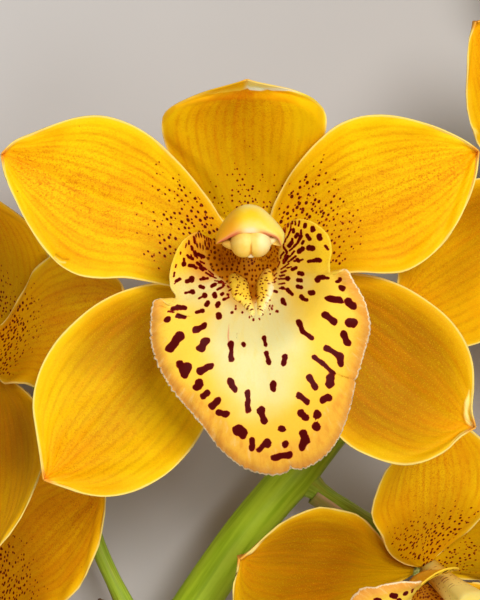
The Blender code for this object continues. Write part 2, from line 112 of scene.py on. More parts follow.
UP = (0.812, 0.584, 0.0)
BLOOMS = {
    "bloom_1": dict(at=(-146, -46, 23.5), face=(-0.10, -0.66, 0.75), top=(0.95, -0.2, 0.0),
                    size=0.96, mirror=False, close=5, node=-174, leaves=(0.3, -0.9, 0.1)),
    "bloom_2": dict(at=(-112, 44, 16.31), face=(-0.12, 0.52, 0.85), top=(0.62, 0.78, 0.0),
                    size=0.95, mirror=False, close=6, node=-138, leaves=(0.3, 0.9, 0.0)),
    "bloom_3": dict(at=(-40, -42, 15.4), face=(-0.08, -0.50, 0.86), top=(0.90, -0.40, 0.0),
                    size=0.94, mirror=True, close=6, node=-40, leaves=(0.1, -0.95, -0.1), bract=20.0),
    "bloom_4": dict(at=(-56, 81, 21.72), face=(-0.10, 0.63, 0.77), top=(0.90, 0.30, 0.0),
                    size=0.95, mirror=True, close=6, node=-94, leaves=(0.3, 0.9, -0.1)),
    "front_bloom": dict(at=(0, 42, 66), face=(0, 0, 1), top=UP,
                        size=1.0, mirror=False, close=0, node=-22, leaves=(0.1, 0.8, 0.6)),
    "bloom_5": dict(at=(61, -17, 34), face=(0.12, -0.32, 0.94), top=(0.983, 0.186, 0.0),
                    size=0.93, mirror=False, close=6, node=26, leaves=(0.5, -0.6, 0.6)),
}
FRONT = "front_bloom"
BUDS = {
    "bud_1": dict(node=78, leaves=(0.45, 0.85, 0.30), heading=(0.80, 0.45, 0.40), stem=27, body=37, wide=8.4),
    "bud_2": dict(node=104, leaves=(0.55, -0.85, -0.05), heading=(0.88, -0.44, -0.165), stem=22, body=31, wide=7.0),
    "bud_3": dict(node=128, leaves=(0.60, 0.75, 0.25), heading=(0.93, 0.30, 0.12), stem=17, body=25, wide=5.6),
}
SCAPE_LINE = [(-392, 8, 6.6), (-340, 4, 9.5), (-285, 1, 13), (-232, -1, 16.5), (-165, 1, 20),
              (-128, -1, 21), (-64, 1, 21.5), (-26, -1, 21.5), (34, 1, 20.5), (78, -1, 16.5),
              (104, 1, 12.5), (128, -0.5, 8.6), (150, 1, 5.2)]

# The lip's marks, drawn on a chart 5.058 times the sheet, whose corner is at (150, 180):
# one end, the other end, and the radius of each.
CHART = 5.058
BLOTCHES = [
    (150, 790, 105, 850, 22), (88, 703, 88, 703, 19), (230, 762, 268, 744, 15),
    (260, 850, 282, 818, 19), (155, 936, 172, 965, 17), (190, 945, 178, 985, 18), (255, 968, 308, 943, 17),
    (243, 1046, 253, 1030, 22), (270, 1095, 290, 1078, 15), (315, 1140, 345, 1115, 17),
    (350, 1172, 385, 1182, 15), (408, 1022, 410, 1024, 18), (415, 1040, 428, 1063, 13), (405, 835, 412, 910, 12),
    (472, 838, 472, 838, 12), (580, 808, 587, 838, 10), (592, 880, 603, 925, 11), (682, 895, 680, 930, 13),
    (625, 1032, 627, 1058, 14), (490, 1075, 495, 1160, 13), (562, 1165, 578, 1215, 17), (446, 1262, 466, 1275, 27),
    (515, 1310, 515, 1350, 14), (592, 1325, 594, 1327, 20), (592, 1325, 552, 1358, 11), (668, 1253, 668, 1253, 19),
    (683, 1330, 683, 1330, 17), (628, 1398, 702, 1383, 16), (772, 1278, 784, 1306, 21), (785, 1312, 768, 1343, 19),
    (838, 1243, 838, 1243, 21), (842, 1182, 842, 1182, 22), (762, 1177, 785, 1198, 17), (752, 1088, 793, 1123, 13),
    (872, 1110, 900, 1098, 17), (806, 1002, 834, 1048, 15), (908, 1003, 908, 1032, 19), (828, 898, 868, 925, 10),
    (870, 927, 922, 976, 10), (892, 852, 950, 884, 14), (957, 888, 962, 932, 15), (757, 722, 775, 770, 12),
    (775, 770, 816, 798, 12), (888, 682, 932, 717, 15), (1003, 720, 1028, 722, 19), (978, 777, 992, 818, 18),
    (910, 601, 962, 607, 15), (1006, 614, 1026, 633, 19), (975, 548, 977, 550, 17),
    (950, 515, 970, 500, 7), (411, 682, 411, 682, 8), (465, 680, 465, 680, 6), (430, 645, 430, 645, 5),
    (430, 662, 430, 662, 5), (500, 702, 500, 702, 5), (515, 695, 515, 695, 5), (525, 717, 525, 717, 5),
    (555, 712, 555, 712, 5), (570, 687, 570, 687, 5), (610, 615, 610, 615, 4), (608, 645, 608, 645, 4),
    (620, 660, 620, 660, 4), (612, 687, 612, 687, 4), (622, 645, 622, 645, 4), (648, 673, 648, 673, 7),
]
# The finer marks of the two side lobes, drawn straight on the sheet.
LOBE_MARKS = [
    # left
    (193.2, 236.5, 193.4, 242.6, 0.95), (188.3, 240.5, 187.7, 243.6, 0.8), (185.2, 243.6, 184.5, 247.5, 0.5),
    (189.8, 246.3, 190.2, 249.2, 1.0), (192.7, 251.5, 194, 255.5, 1.3), (194, 255.5, 195, 257.8, 0.8),
    (196, 253.9, 201.6, 256.6, 1.3), (198.2, 255.5, 199.4, 258.2, 0.8), (185.5, 255.4, 187, 257, 1.0),
    (187, 257.2, 190.8, 258.8, 1.1), (188.8, 254.8, 189.5, 257, 0.7), (182.4, 258.6, 182.1, 262, 0.8),
    (182.0, 263.6, 182, 265, 1.45), (180, 252, 179.6, 254, 0.6), (187.7, 265.6, 191.3, 266, 1.45),
    (191.5, 266.2, 194.1, 268.4, 1.15), (195.4, 262.9, 199.2, 266.4, 1.2), (198, 261.2, 202.3, 263.9, 0.8),
    (198.6, 268.3, 200.8, 270.3, 1.25), (199.8, 267, 204.3, 269.8, 0.9), (204.2, 273.4, 209.2, 276.6, 0.9),
    (206.3, 271.2, 211.5, 275.4, 0.6), (210.4, 277, 214, 279, 0.6), (175.6, 264.4, 174.9, 267.4, 0.5),
    (173.8, 272.6, 172.9, 276.8, 0.7), (178.3, 279.5, 175.4, 281.4, 1.15), (175.2, 281.8, 173.9, 284, 0.6),
    (189.9, 279, 189.8, 280.8, 2.1), (188.6, 280.5, 185, 281.8, 1.5), (198.9, 279.8, 205.6, 279.1, 1.05),
    (201.2, 278.6, 201.6, 278.8, 1.1), (198.3, 287.3, 201.6, 288.6, 1.35), (190.6, 292.1, 191, 293.2, 1.7),
    (189.6, 292.8, 184.3, 293.6, 1.0), (202.8, 296.1, 203.3, 296.9, 1.9), (201.8, 297.1, 197.3, 299.3, 0.9),
    (210.1, 287.5, 213.3, 285.3, 1.25), (215.6, 290.8, 221.2, 288.2, 0.9), (213, 281.6, 218.6, 283, 0.6),
    (216.3, 284, 224, 284.6, 0.5), (219.2, 281.8, 221.8, 283.4, 0.6), (221.5, 286.1, 222.4, 286.6, 0.9),
    (226, 287.6, 227.7, 288.7, 0.8), (227.5, 292.3, 229.8, 291.3, 0.6), (213, 295.2, 213.7, 297.6, 1.7),
    (211.7, 295.5, 212, 295.7, 1.0), (220.1, 295.8, 221.1, 295.1, 1.2), (226.4, 296, 227.3, 296.3, 1.0),
    (222.5, 301.1, 224, 300.5, 1.15), (224, 300.5, 227.5, 299.3, 0.8), (206.3, 304.3, 205.1, 305.8, 1.9),
    (216.9, 305.2, 216.1, 307, 2.1), (176.5, 307.2, 183.6, 308.7, 1.6), (172.2, 308, 177, 307.3, 1.1),
    (194.8, 313.6, 198.6, 312.8, 1.1), (200.6, 312.2, 201.2, 312, 1.8), (217.6, 316.6, 218, 318.6, 2.4),
    (176.8, 316.1, 184.2, 318.2, 1.25), (166.5, 311.6, 173.5, 313, 0.5), (209, 250, 209.3, 252.5, 0.5),
    # right
    (305.9, 224, 306.1, 226, 1.3), (313.3, 227.4, 314.1, 229.6, 1.55), (308.9, 234.4, 311.6, 238.4, 1.35),
    (320.5, 235.3, 321.3, 238.2, 1.9), (326.4, 245.6, 328.8, 249.4, 0.9), (305.6, 240.4, 304.2, 242.7, 1.05),
    (311.1, 247.3, 314.4, 248, 2.3), (304.6, 248.4, 301, 251.2, 1.9), (310.8, 261.6, 316, 260.6, 1.3),
    (318.2, 260, 321, 260.3, 1.85), (299.6, 259.8, 300.4, 260.9, 1.6), (296.3, 261.2, 299, 260.4, 0.9),
    (301.2, 260.8, 304.7, 259.4, 0.9), (298, 268, 294.3, 269.8, 1.25), (301.2, 273.6, 304.3, 274.7, 1.65),
    (299.9, 280.8, 302.8, 281, 1.6), (299.7, 287.6, 302.8, 288.3, 1.6), (289.4, 291, 291, 293, 1.65),
    (291.2, 293.2, 293.8, 295.6, 1.25), (303.1, 297.7, 304.4, 299.3, 1.85), (304.8, 300.1, 308.7, 301.2, 1.25),
    (312.2, 293.8, 314.8, 293.5, 2.0), (284.1, 301.2, 284.5, 303.8, 1.75), (284.6, 304.2, 286.8, 305.8, 1.1),
    (319, 279.8, 319.4, 280.8, 2.2), (320.3, 278, 325, 277.5, 2.0), (325.3, 277.8, 329.2, 278.2, 1.15),
    (288.3, 222, 288.6, 225.6, 0.75), (292.8, 220.8, 293.2, 222.8, 0.7), (295.7, 220.8, 296.4, 223.7, 0.8),
    (299.8, 220.9, 300.1, 224.6, 0.8), (291.6, 222.8, 292.3, 227.8, 0.55), (292.3, 228, 291, 231.8, 0.85),
    (290.9, 232, 288.8, 236.2, 0.85), (295, 228.3, 295.2, 230.7, 1.15), (286.5, 227, 286.6, 231, 0.45),
    (284.8, 227, 285, 230, 0.45), (285.5, 234, 285.8, 236.4, 0.6), (287.5, 237.2, 287.1, 240.7, 0.6),
    (298.9, 233.2, 297.4, 236, 1.25), (299.2, 233.2, 301, 235, 0.9), (302.6, 229.4, 303.1, 234.8, 0.9),
    (302.9, 235.2, 301.6, 237.8, 1.3), (301.2, 238.2, 299.5, 242.3, 1.05), (299.4, 242.6, 295.6, 246.3, 0.95),
    (295.4, 246.6, 291.7, 250.2, 0.85), (293.9, 238.3, 293.7, 240.8, 0.95), (293.3, 241.8, 291, 245.2, 1.55),
    (285.5, 240.3, 285.5, 245.8, 0.6), (285.6, 246.1, 288.3, 250.8, 0.9), (288.5, 251.2, 288.7, 253, 1.0),
    (296.3, 250.8, 294, 254.4, 0.8), (293.9, 254.6, 291.7, 256.8, 0.75), (297.7, 256, 293.2, 259.8, 0.95),
    (293, 260.1, 290.2, 262.3, 0.75), (288.4, 253.3, 286.6, 256.2, 0.75), (285.8, 251.8, 283.1, 255.3, 0.8),
    (283, 255.6, 282.5, 258.8, 0.5), (286.4, 257.3, 285.1, 261.8, 0.6), (289.9, 256.3, 288.1, 259.7, 1.2),
    (288.3, 260.3, 285.7, 263.7, 0.85), (290.7, 263.8, 286.7, 267.3, 0.75), (286.4, 267.6, 283.2, 269.6, 0.65),
    (293.2, 267, 289.3, 268.4, 0.75), (288.2, 271.4, 283.2, 273.4, 0.75), (286.1, 276, 281.7, 276.9, 0.85),
    (289.4, 279.1, 289.9, 279.3, 1.9), (286.8, 279.5, 280.8, 280.4, 0.8), (286.2, 284.4, 280.3, 285.5, 0.7),
    (284.8, 289.3, 283.6, 289.4, 1.25), (280.8, 289.5, 283.5, 289.4, 0.6), (276, 293, 277.8, 293.3, 1.1),
    (278.8, 274.2, 275.7, 276.8, 0.6), (278.8, 279.1, 274.3, 281.8, 0.6), (277.1, 283.1, 275.7, 283.7, 0.8),
    (270.6, 301.2, 271.2, 302.3, 0.8), (273, 307.8, 273, 307.9, 0.8), (272.5, 310.5, 272.5, 310.6, 0.7),
    (270, 307.5, 270, 307.6, 0.6), (269.8, 311, 269.8, 311.1, 0.8), (281.5, 262, 280.5, 266, 0.5),
]
# The two callus keels, from the throat outwards: how far down the sheet, left edge, right edge, height.
KEELS = [
    [(275.2, 231.6, 234.6, 0.9), (278, 229.8, 239.5, 2.0), (281, 229.9, 243.8, 2.7), (284, 230.6, 246, 3.1),
     (290, 232, 247, 3.1), (294, 233.2, 247.8, 2.9), (298, 234.6, 248.9, 2.6), (300, 238.2, 249.6, 2.3),
     (303, 242.5, 250.5, 1.9), (306, 245.3, 251.4, 1.5), (310, 248.3, 252.4, 1.0), (314, 251, 253.4, 0.6), (317, 252.8, 254, 0.2)],
    [(270.6, 267, 269.5, 0.9), (274, 264.3, 270.6, 2.0), (279, 261, 271.4, 2.8), (284, 258.5, 272.1, 3.1),
     (289, 258.6, 272.2, 3.1), (294, 258.9, 270.8, 2.8), (299, 259.1, 268.2, 2.3), (304, 259.3, 265.8, 1.8),
     (309, 259.4, 263.7, 1.2), (314, 259.6, 261.8, 0.6), (318, 259.8, 260.6, 0.2)],
]
# The fold under the hem that turns over at the top of the upper sepal, across the sheet.
HEM = [(160, 80), (204, 92), (209, 93.5), (218, 92.8), (226, 91.3), (233, 90.2), (240, 89.7), (247.5, 87.2), (250, 88.9),
       (256, 89.5), (262, 89.9), (275, 89.8), (288, 90.3), (296, 92.2), (303, 95.2), (312, 99.6), (318, 103.4), (325, 112.4)]
# Where the brown throat ends, left and right, going down the sheet.
THROAT_SIDES = [(225, 203, 290), (235, 203.5, 286), (250, 203.5, 281.5), (258, 204.5, 281.5), (265, 207, 281.5), (271, 210, 279),
                (276, 214, 275), (281, 221, 272.5), (286, 228, 271), (292, 232, 269), (300, 240, 262), (306, 251, 256)]


# ---------------------------------------------------------------- shape functions
def crv(points, n):
    """n points spread evenly by length along the smooth line through the given ones."""
    p = np.array(points, float)
    p = np.vstack([2 * p[0] - p[1], p, 2 * p[-1] - p[-2]])
    fine = []
    for i in range(1, len(p) - 2):
        a, b, c, d = p[i - 1], p[i], p[i + 1], p[i + 2]
        for k in range(12):
            t = k / 12
            fine.append(0.5 * (2 * b + (c - a) * t + (2 * a - 5 * b + 4 * c - d) * t * t
                               + (3 * b - a - 3 * c + d) * t ** 3))
    fine.append(p[-2])
    fine = np.array(fine)
    along = np.concatenate([[0], np.cumsum(np.linalg.norm(np.diff(fine, axis=0), axis=1))])
    at = np.asarray(n) * along[-1] if np.ndim(n) else np.linspace(0, along[-1], n)
    return np.stack([np.interp(at, along, fine[:, k]) for k in range(p.shape[1])], axis=1)


def station_curve(points, place):
    """The smooth line through the points, read at fractional point numbers."""
    p = np.vstack([2 * points[0] - points[1], points, 2 * points[-1] - points[-2], 3 * points[-1] - 2 * points[-2]])
    i = np.minimum(place.astype(int), len(points) - 2)
    t = (place - i)[:, None]
    a, b, c, d = p[i], p[i + 1], p[i + 2], p[i + 3]
    return 0.5 * (2 * b + (c - a) * t + (2 * a - 5 * b + 4 * c - d) * t * t + (3 * b - a - 3 * c + d) * t ** 3)


def smooth(a, b, x):
    t = np.clip((x - a) / (b - a), 0, 1)
    return t * t * (3 - 2 * t)


def unit(v):
    v = np.array(v, float)
    return v / np.linalg.norm(v)


def bezier(a, b, c, d, n):
    t = np.linspace(0, 1, n)[:, None]
    a, b, c, d = (np.array(x, float) for x in (a, b, c, d))
    return (1 - t) ** 3 * a + 3 * (1 - t) ** 2 * t * b + 3 * (1 - t) * t * t * c + t ** 3 * d


def to_space(u, v, z):
    k = (EYE - z) / EYE
    x = (u - AXIS[0]) * SHEET * k + (AXIS[0] - CENTRE[0]) * SHEET
    y = (AXIS[1] - v) * SHEET * k + (CENTRE[1] - AXIS[1]) * SHEET
    return np.stack([x, y, z], axis=-1)


def depth_dorsal(u, v, t, s):
    f = np.clip((CENTRE[1] - v) / 161.0, 0, 1.05)
    back = 2.2 * s * s * np.sin(np.pi * np.clip(f, 0, 1)) ** 0.8
    return 0.6 + 29.0 * f ** 2.4 - back + 4.5 * s * s * smooth(0.75, 1.0, t)


def depth_petal(u, v, t, s):
    r = np.hypot(u - CENTRE[0], v - CENTRE[1]) / 240.0
    cup = np.where(s < 0, 4.6, 2.6) * s * s * smooth(0.05, 0.4, t) * (1 - 0.45 * smooth(0.6, 1, t))
    return 2.2 + 6.0 * (1 - (1 - np.clip(r, 0, 1)) ** 2) + 1.5 * r ** 4 + cup


def depth_lateral(u, v, t, s):
    r = np.hypot(u - CENTRE[0], v - CENTRE[1]) / 290.0
    cup = 3.2 * s * s * np.sin(np.pi * np.clip(t, 0, 1)) ** 0.7
    return 0.6 + 1.2 * r + 8.5 * r ** 3 + cup


def depth_lip(u, v):
    du, dv = u - THROAT[0], v - THROAT[1]
    r = np.hypot(du * 1.0, dv * np.where(dv > 0, 0.92, 1.05))
    funnel = 3.6 + 8.2 * smooth(4, 46, r) + 15.5 * smooth(24, 92, r) + 3.6 * smooth(70, 150, r)
    cap = 31.5 - 6.5 * ((u - 259) / 109.0) ** 2 * smooth(285, 350, v) - 8.5 * (np.clip(v - 378, 0, None) / 96.0) ** 2
    lobes = 30.0 - 0.0 * u
    top = np.where(v > 300, cap, lobes + (cap - lobes) * smooth(250, 300, v))
    k = 2.2
    return -k * np.log(np.exp(-funnel / k) + np.exp(-top / k))


def waves(rng, n, low, high):
    """A few seeded waves: returns a function of one number that wanders between about -1 and 1."""
    f = rng.uniform(low, high, n)
    p = rng.uniform(0, 2 * np.pi, n)
    a = rng.uniform(0.5, 1.0, n)
    a /= a.sum()
    return lambda x: sum(a[k] * np.sin(f[k] * x + p[k]) for k in range(n))


# ---------------------------------------------------------------- meshes
def finish_mesh(name, verts, faces, attributes, material, node, uv=None):
    """A smooth mesh object from points in millimetres; faces is a list of arrays, each with its own number of corners."""
    mesh = bpy.data.meshes.new(name)
    verts = np.asarray(verts, np.float32)
    totals = np.concatenate([np.full(len(f), f.shape[1], np.int32) for f in faces])
    loops = np.concatenate([f.astype(np.int32).ravel() for f in faces])
    mesh.vertices.add(len(verts))
    mesh.vertices.foreach_set("co", (verts * MM).astype(np.float32).ravel())
    mesh.loops.add(len(loops))
    mesh.loops.foreach_set("vertex_index", loops)
    mesh.polygons.add(len(totals))
    mesh.polygons.foreach_set("loop_start", np.concatenate([[0], np.cumsum(totals)[:-1]]).astype(np.int32))
    mesh.polygons.foreach_set("loop_total", totals)
    mesh.update(calc_edges=True)
    for key, value in attributes.items():
        value = np.asarray(value, np.float32)
        if value.ndim == 1:
            a = mesh.attributes.new(key, "FLOAT", "POINT")
            a.data.foreach_set("value", value)
        else:
            a = mesh.attributes.new(key, "FLOAT_VECTOR", "POINT")
            a.data.foreach_set("vector", value.ravel())
    if uv is not None:
        layer = mesh.uv_layers.new(name="OFBake")
        layer.uv.foreach_set("vector", np.asarray(uv, np.float32)[loops].ravel())
    mesh.validate()
    mesh.shade_smooth()
    o = bpy.data.objects.new(name, mesh)
    bpy.context.scene.collection.objects.link(o)
    mesh.materials.append(material)
    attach(o, "root")
    if node:
        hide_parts(node)
    return o


def shell(name, mid, thick, attributes, material, node, outward, skip=4):
    """A thin closed solid round a grid of middle points. thick is in millimetres at each point, attributes are grids,
    and outward is the way its face looks. Its back is skip times coarser than its front."""
    n0, n1 = mid.shape[:2]
    assert (n0 - 1) % skip == 0 and (n1 - 1) % skip == 0
    normal = np.cross(np.gradient(mid, axis=0), np.gradient(mid, axis=1))
    normal /= np.maximum(np.linalg.norm(normal, axis=2, keepdims=True), 1e-9)
    flip = (normal * outward).sum(axis=2).mean() < 0
    if flip:
        normal = -normal
    normal[-1], normal[0] = normal[-2], normal[1]
    front = mid + normal * thick[..., None] / 2
    back = (mid - normal * thick[..., None] / 2)[::skip, ::skip]
    m0, m1 = back.shape[:2]
    index = np.arange(n0 * n1).reshape(n0, n1)
    far = np.arange(m0 * m1).reshape(m0, m1) + n0 * n1

    def quads(g):
        return np.stack([g[:-1, :-1], g[1:, :-1], g[1:, 1:], g[:-1, 1:]], axis=-1).reshape(-1, 4)

    def rim(a, b):
        span = np.stack([a[k: len(a) - skip + k: skip] for k in range(skip)] + [a[skip::skip]], axis=-1)
        return np.concatenate([span, b[1:, None], b[:-1, None]], axis=1)

    faces = [quads(index), quads(far)[:, ::-1], rim(index[0], far[0]), rim(index[-1][::-1], far[-1][::-1]),
             rim(index[:, -1], far[:, -1]), rim(index[:, 0][::-1], far[:, 0][::-1])]
    if flip:
        faces = [f[:, ::-1] for f in faces]
    both = {}
    for key, value in attributes.items():
        value = value.reshape(n0, n1, -1)
        k = value.shape[2]
        both[key] = np.concatenate([value.reshape(-1, k), value[::skip, ::skip].reshape(-1, k)]).squeeze()
    both["front"] = np.concatenate([np.ones(n0 * n1), np.zeros(m0 * m1)])
    a, b = np.meshgrid(np.linspace(0.01, 0.99, n0), np.linspace(0.01, 0.49, n1), indexing="ij")
    uv = np.stack([b, a], -1)
    uv = np.concatenate([uv.reshape(-1, 2), (uv[::skip, ::skip] + [0.5, 0]).reshape(-1, 2)])
    return finish_mesh(name, np.concatenate([front.reshape(-1, 3), back.reshape(-1, 3)]), faces, both, material, node, uv=uv)


def frames_along(line):
    """Unit tangents and two unit normals carried along a line of points without twist."""
    tangent = np.gradient(line, axis=0)
    tangent /= np.linalg.norm(tangent, axis=1, keepdims=True)
    a = np.cross(tangent[0], [0, 0, 1.0])
    if np.linalg.norm(a) < 0.1:
        a = np.cross(tangent[0], [0, 1.0, 0])
    normals = []
    for t in tangent:
        a = a - t * float(a @ t)
        a /= np.linalg.norm(a)
        normals.append(a.copy())
    normals = np.array(normals)
    return tangent, normals, np.cross(tangent, normals)


def tube(name, line, radius, material, node, shape=None, n_round=32, flat_start=False, flat_end=False, extra=None):
    """A closed solid of round sections. radius is a list along the line; shape(f, angle) scales it. An end is a dome or,
    where it is flat, a cut face with an edge of its own. extra(f, angle) gives more attributes."""
    line = np.asarray(line, float)
    n = len(line)
    tangent, a, b = frames_along(line)
    ang = np.linspace(0, 2 * np.pi, n_round, endpoint=False)
    along = np.concatenate([[0], np.cumsum(np.linalg.norm(np.diff(line, axis=0), axis=1))])
    F, A = np.meshgrid(along / along[-1], ang, indexing="ij")
    r = np.asarray(radius)[:, None] * (shape(F, A) if shape else np.ones_like(F))
    body = line[:, None] + r[..., None] * (np.cos(A)[..., None] * a[:, None] + np.sin(A)[..., None] * b[:, None])
    rings = [body[k] for k in range(n)]
    where = [along[k] for k in range(n)]
    cut = [0.0] * n

    def end(k, s, flat):
        size = float(np.mean(radius[k]))
        made = []
        if flat:
            made = [(body[k].copy(), along[k], 1.0)]
            made += [(line[k] + (body[k] - line[k]) * f, along[k], 2.0 - f) for f in (0.92, 0.7, 0.45, 0.2, 0.02)]
        else:
            for f in (0.25, 0.5, 0.75, 0.92, 0.985):
                rise = 0.8 * size * math.sin(f * math.pi / 2)
                made.append((line[k] + s * tangent[k] * rise + (body[k] - line[k]) * math.cos(f * math.pi / 2), along[k] + s * rise, 0.0))
        return made

    first, last = end(0, -1.0, flat_start), end(n - 1, 1.0, flat_end)
    rings = [m[0] for m in first[::-1]] + rings + [m[0] for m in last]
    where = [m[1] for m in first[::-1]] + where + [m[1] for m in last]
    cut = [m[2] for m in first[::-1]] + cut + [m[2] for m in last]
    total = len(rings)
    index = np.arange(total * n_round).reshape(total, n_round)
    w = np.concatenate([index, index[:, :1]], axis=1)
    quads = np.stack([w[:-1, :-1], w[:-1, 1:], w[1:, 1:], w[1:, :-1]], axis=-1)
    # where a cut face meets the side both have their own ring, and nothing lies between these two
    faces = [quads.reshape(-1, 4), index[0][::-1][None], index[-1][None]]
    info = {"along": np.repeat(where, n_round), "angle": np.tile(ang, total), "cap": np.repeat(cut, n_round)}
    if extra:
        f = np.clip(np.repeat(where, n_round) / along[-1], 0, 1)
        info.update(extra(f, np.tile(ang, total)))
    return finish_mesh(name, np.concatenate(rings), faces, info, material, node)


# ---------------------------------------------------------------- shading
def rgb(r, g, b):
    def f(c):
        c = c / 255.0
        return c / 12.92 if c <= 0.04045 else ((c + 0.055) / 1.055) ** 2.4
    return (f(r), f(g), f(b), 1.0)


class Shade:
    """A Principled material, whose nodes are made by calls that take and give sockets."""

    def __init__(self, name, roughness=0.45, subsurface=0.0, radius=(1.0, 0.35, 0.05), depth=1.5, coat=0.0,
                 sheen=0.0, specular=0.5):
        self.mat = bpy.data.materials.new(name)
        self.mat.use_nodes = True
        self.tree = self.mat.node_tree
        self.tree.nodes.clear()
        out = self.tree.nodes.new("ShaderNodeOutputMaterial")
        self.out = self.tree.nodes.new("ShaderNodeBsdfPrincipled")
        self.tree.links.new(self.out.outputs[0], out.inputs[0])
        self.out.inputs["Roughness"].default_value = roughness
        self.out.inputs["Subsurface Weight"].default_value = subsurface
        self.out.inputs["Subsurface Radius"].default_value = radius
        self.out.inputs["Subsurface Scale"].default_value = depth * MM
        self.out.inputs["Coat Weight"].default_value = coat
        self.out.inputs["Sheen Weight"].default_value = sheen
        self.out.inputs["Specular IOR Level"].default_value = specular

    def put(self, socket, value):
        if isinstance(value, bpy.types.NodeSocket):
            self.tree.links.new(value, socket)
        elif value is not None:
            socket.default_value = value

    def make(self, kind, **props):
        n = self.tree.nodes.new(kind)
        for k, v in props.items():
            setattr(n, k, v)
        return n

    def math(self, op, a, b=0.0, c=0.0, clamp=False):
        n = self.make("ShaderNodeMath", operation=op, use_clamp=clamp)
        self.put(n.inputs[0], a)
        self.put(n.inputs[1], b)
        self.put(n.inputs[2], c)
        return n.outputs[0]

    def mul(self, *v):
        x = v[0]
        for y in v[1:]:
            x = self.math("MULTIPLY", x, y)
        return x

    def add(self, *v):
        x = v[0]
        for y in v[1:]:
            x = self.math("ADD", x, y)
        return x

    def sub(self, a, b):
        return self.math("SUBTRACT", a, b)

    def mix(self, f, a, b, kind="MIX"):
        n = self.make("ShaderNodeMix", data_type="RGBA", blend_type=kind, clamp_factor=True)
        self.put(n.inputs[0], f)
        self.put(n.inputs[6], a)
        self.put(n.inputs[7], b)
        return n.outputs[2]

    def ramp(self, x, lo, hi, a=0.0, b=1.0):
        n = self.make("ShaderNodeMapRange", interpolation_type="SMOOTHSTEP")
        for k, v in enumerate((x, lo, hi, a, b)):
            self.put(n.inputs[k], v)
        return n.outputs[0]

    def attr(self, name, out="Fac"):
        n = self.make("ShaderNodeAttribute", attribute_name=name)
        return n.outputs[out]

    def split(self, v):
        n = self.make("ShaderNodeSeparateXYZ")
        self.put(n.inputs[0], v)
        return n.outputs[0], n.outputs[1], n.outputs[2]

    def join(self, x, y, z):
        n = self.make("ShaderNodeCombineXYZ")
        for k, v in enumerate((x, y, z)):
            self.put(n.inputs[k], v)
        return n.outputs[0]

    def noise(self, vector, scale, detail=2.0, rough=0.5, distort=0.0):
        n = self.make("ShaderNodeTexNoise")
        self.put(n.inputs["Vector"], vector)
        self.put(n.inputs["Scale"], scale)
        self.put(n.inputs["Detail"], detail)
        self.put(n.inputs["Roughness"], rough)
        self.put(n.inputs["Distortion"], distort)
        return n.outputs["Fac"]

    def cells(self, vector, scale, random=1.0):
        """On a plane: distance to the nearest cell's middle, and two numbers that belong to that cell."""
        n = self.make("ShaderNodeTexVoronoi", feature="F1", voronoi_dimensions="2D")
        self.put(n.inputs["Vector"], vector)
        self.put(n.inputs["Scale"], scale)
        self.put(n.inputs["Randomness"], random)
        x, y, z = self.split(n.outputs["Color"])
        return n.outputs["Distance"], x, y

    def place(self):
        return self.make("ShaderNodeTexCoord").outputs["Object"]

    def bump(self, height, strength, distance):
        n = self.make("ShaderNodeBump")
        self.put(n.inputs["Strength"], strength)
        self.put(n.inputs["Distance"], distance * MM)
        self.put(n.inputs["Height"], height)
        self.tree.links.new(n.outputs[0], self.out.inputs["Normal"])

    def colour(self, c):
        self.put(self.out.inputs["Base Color"], c)


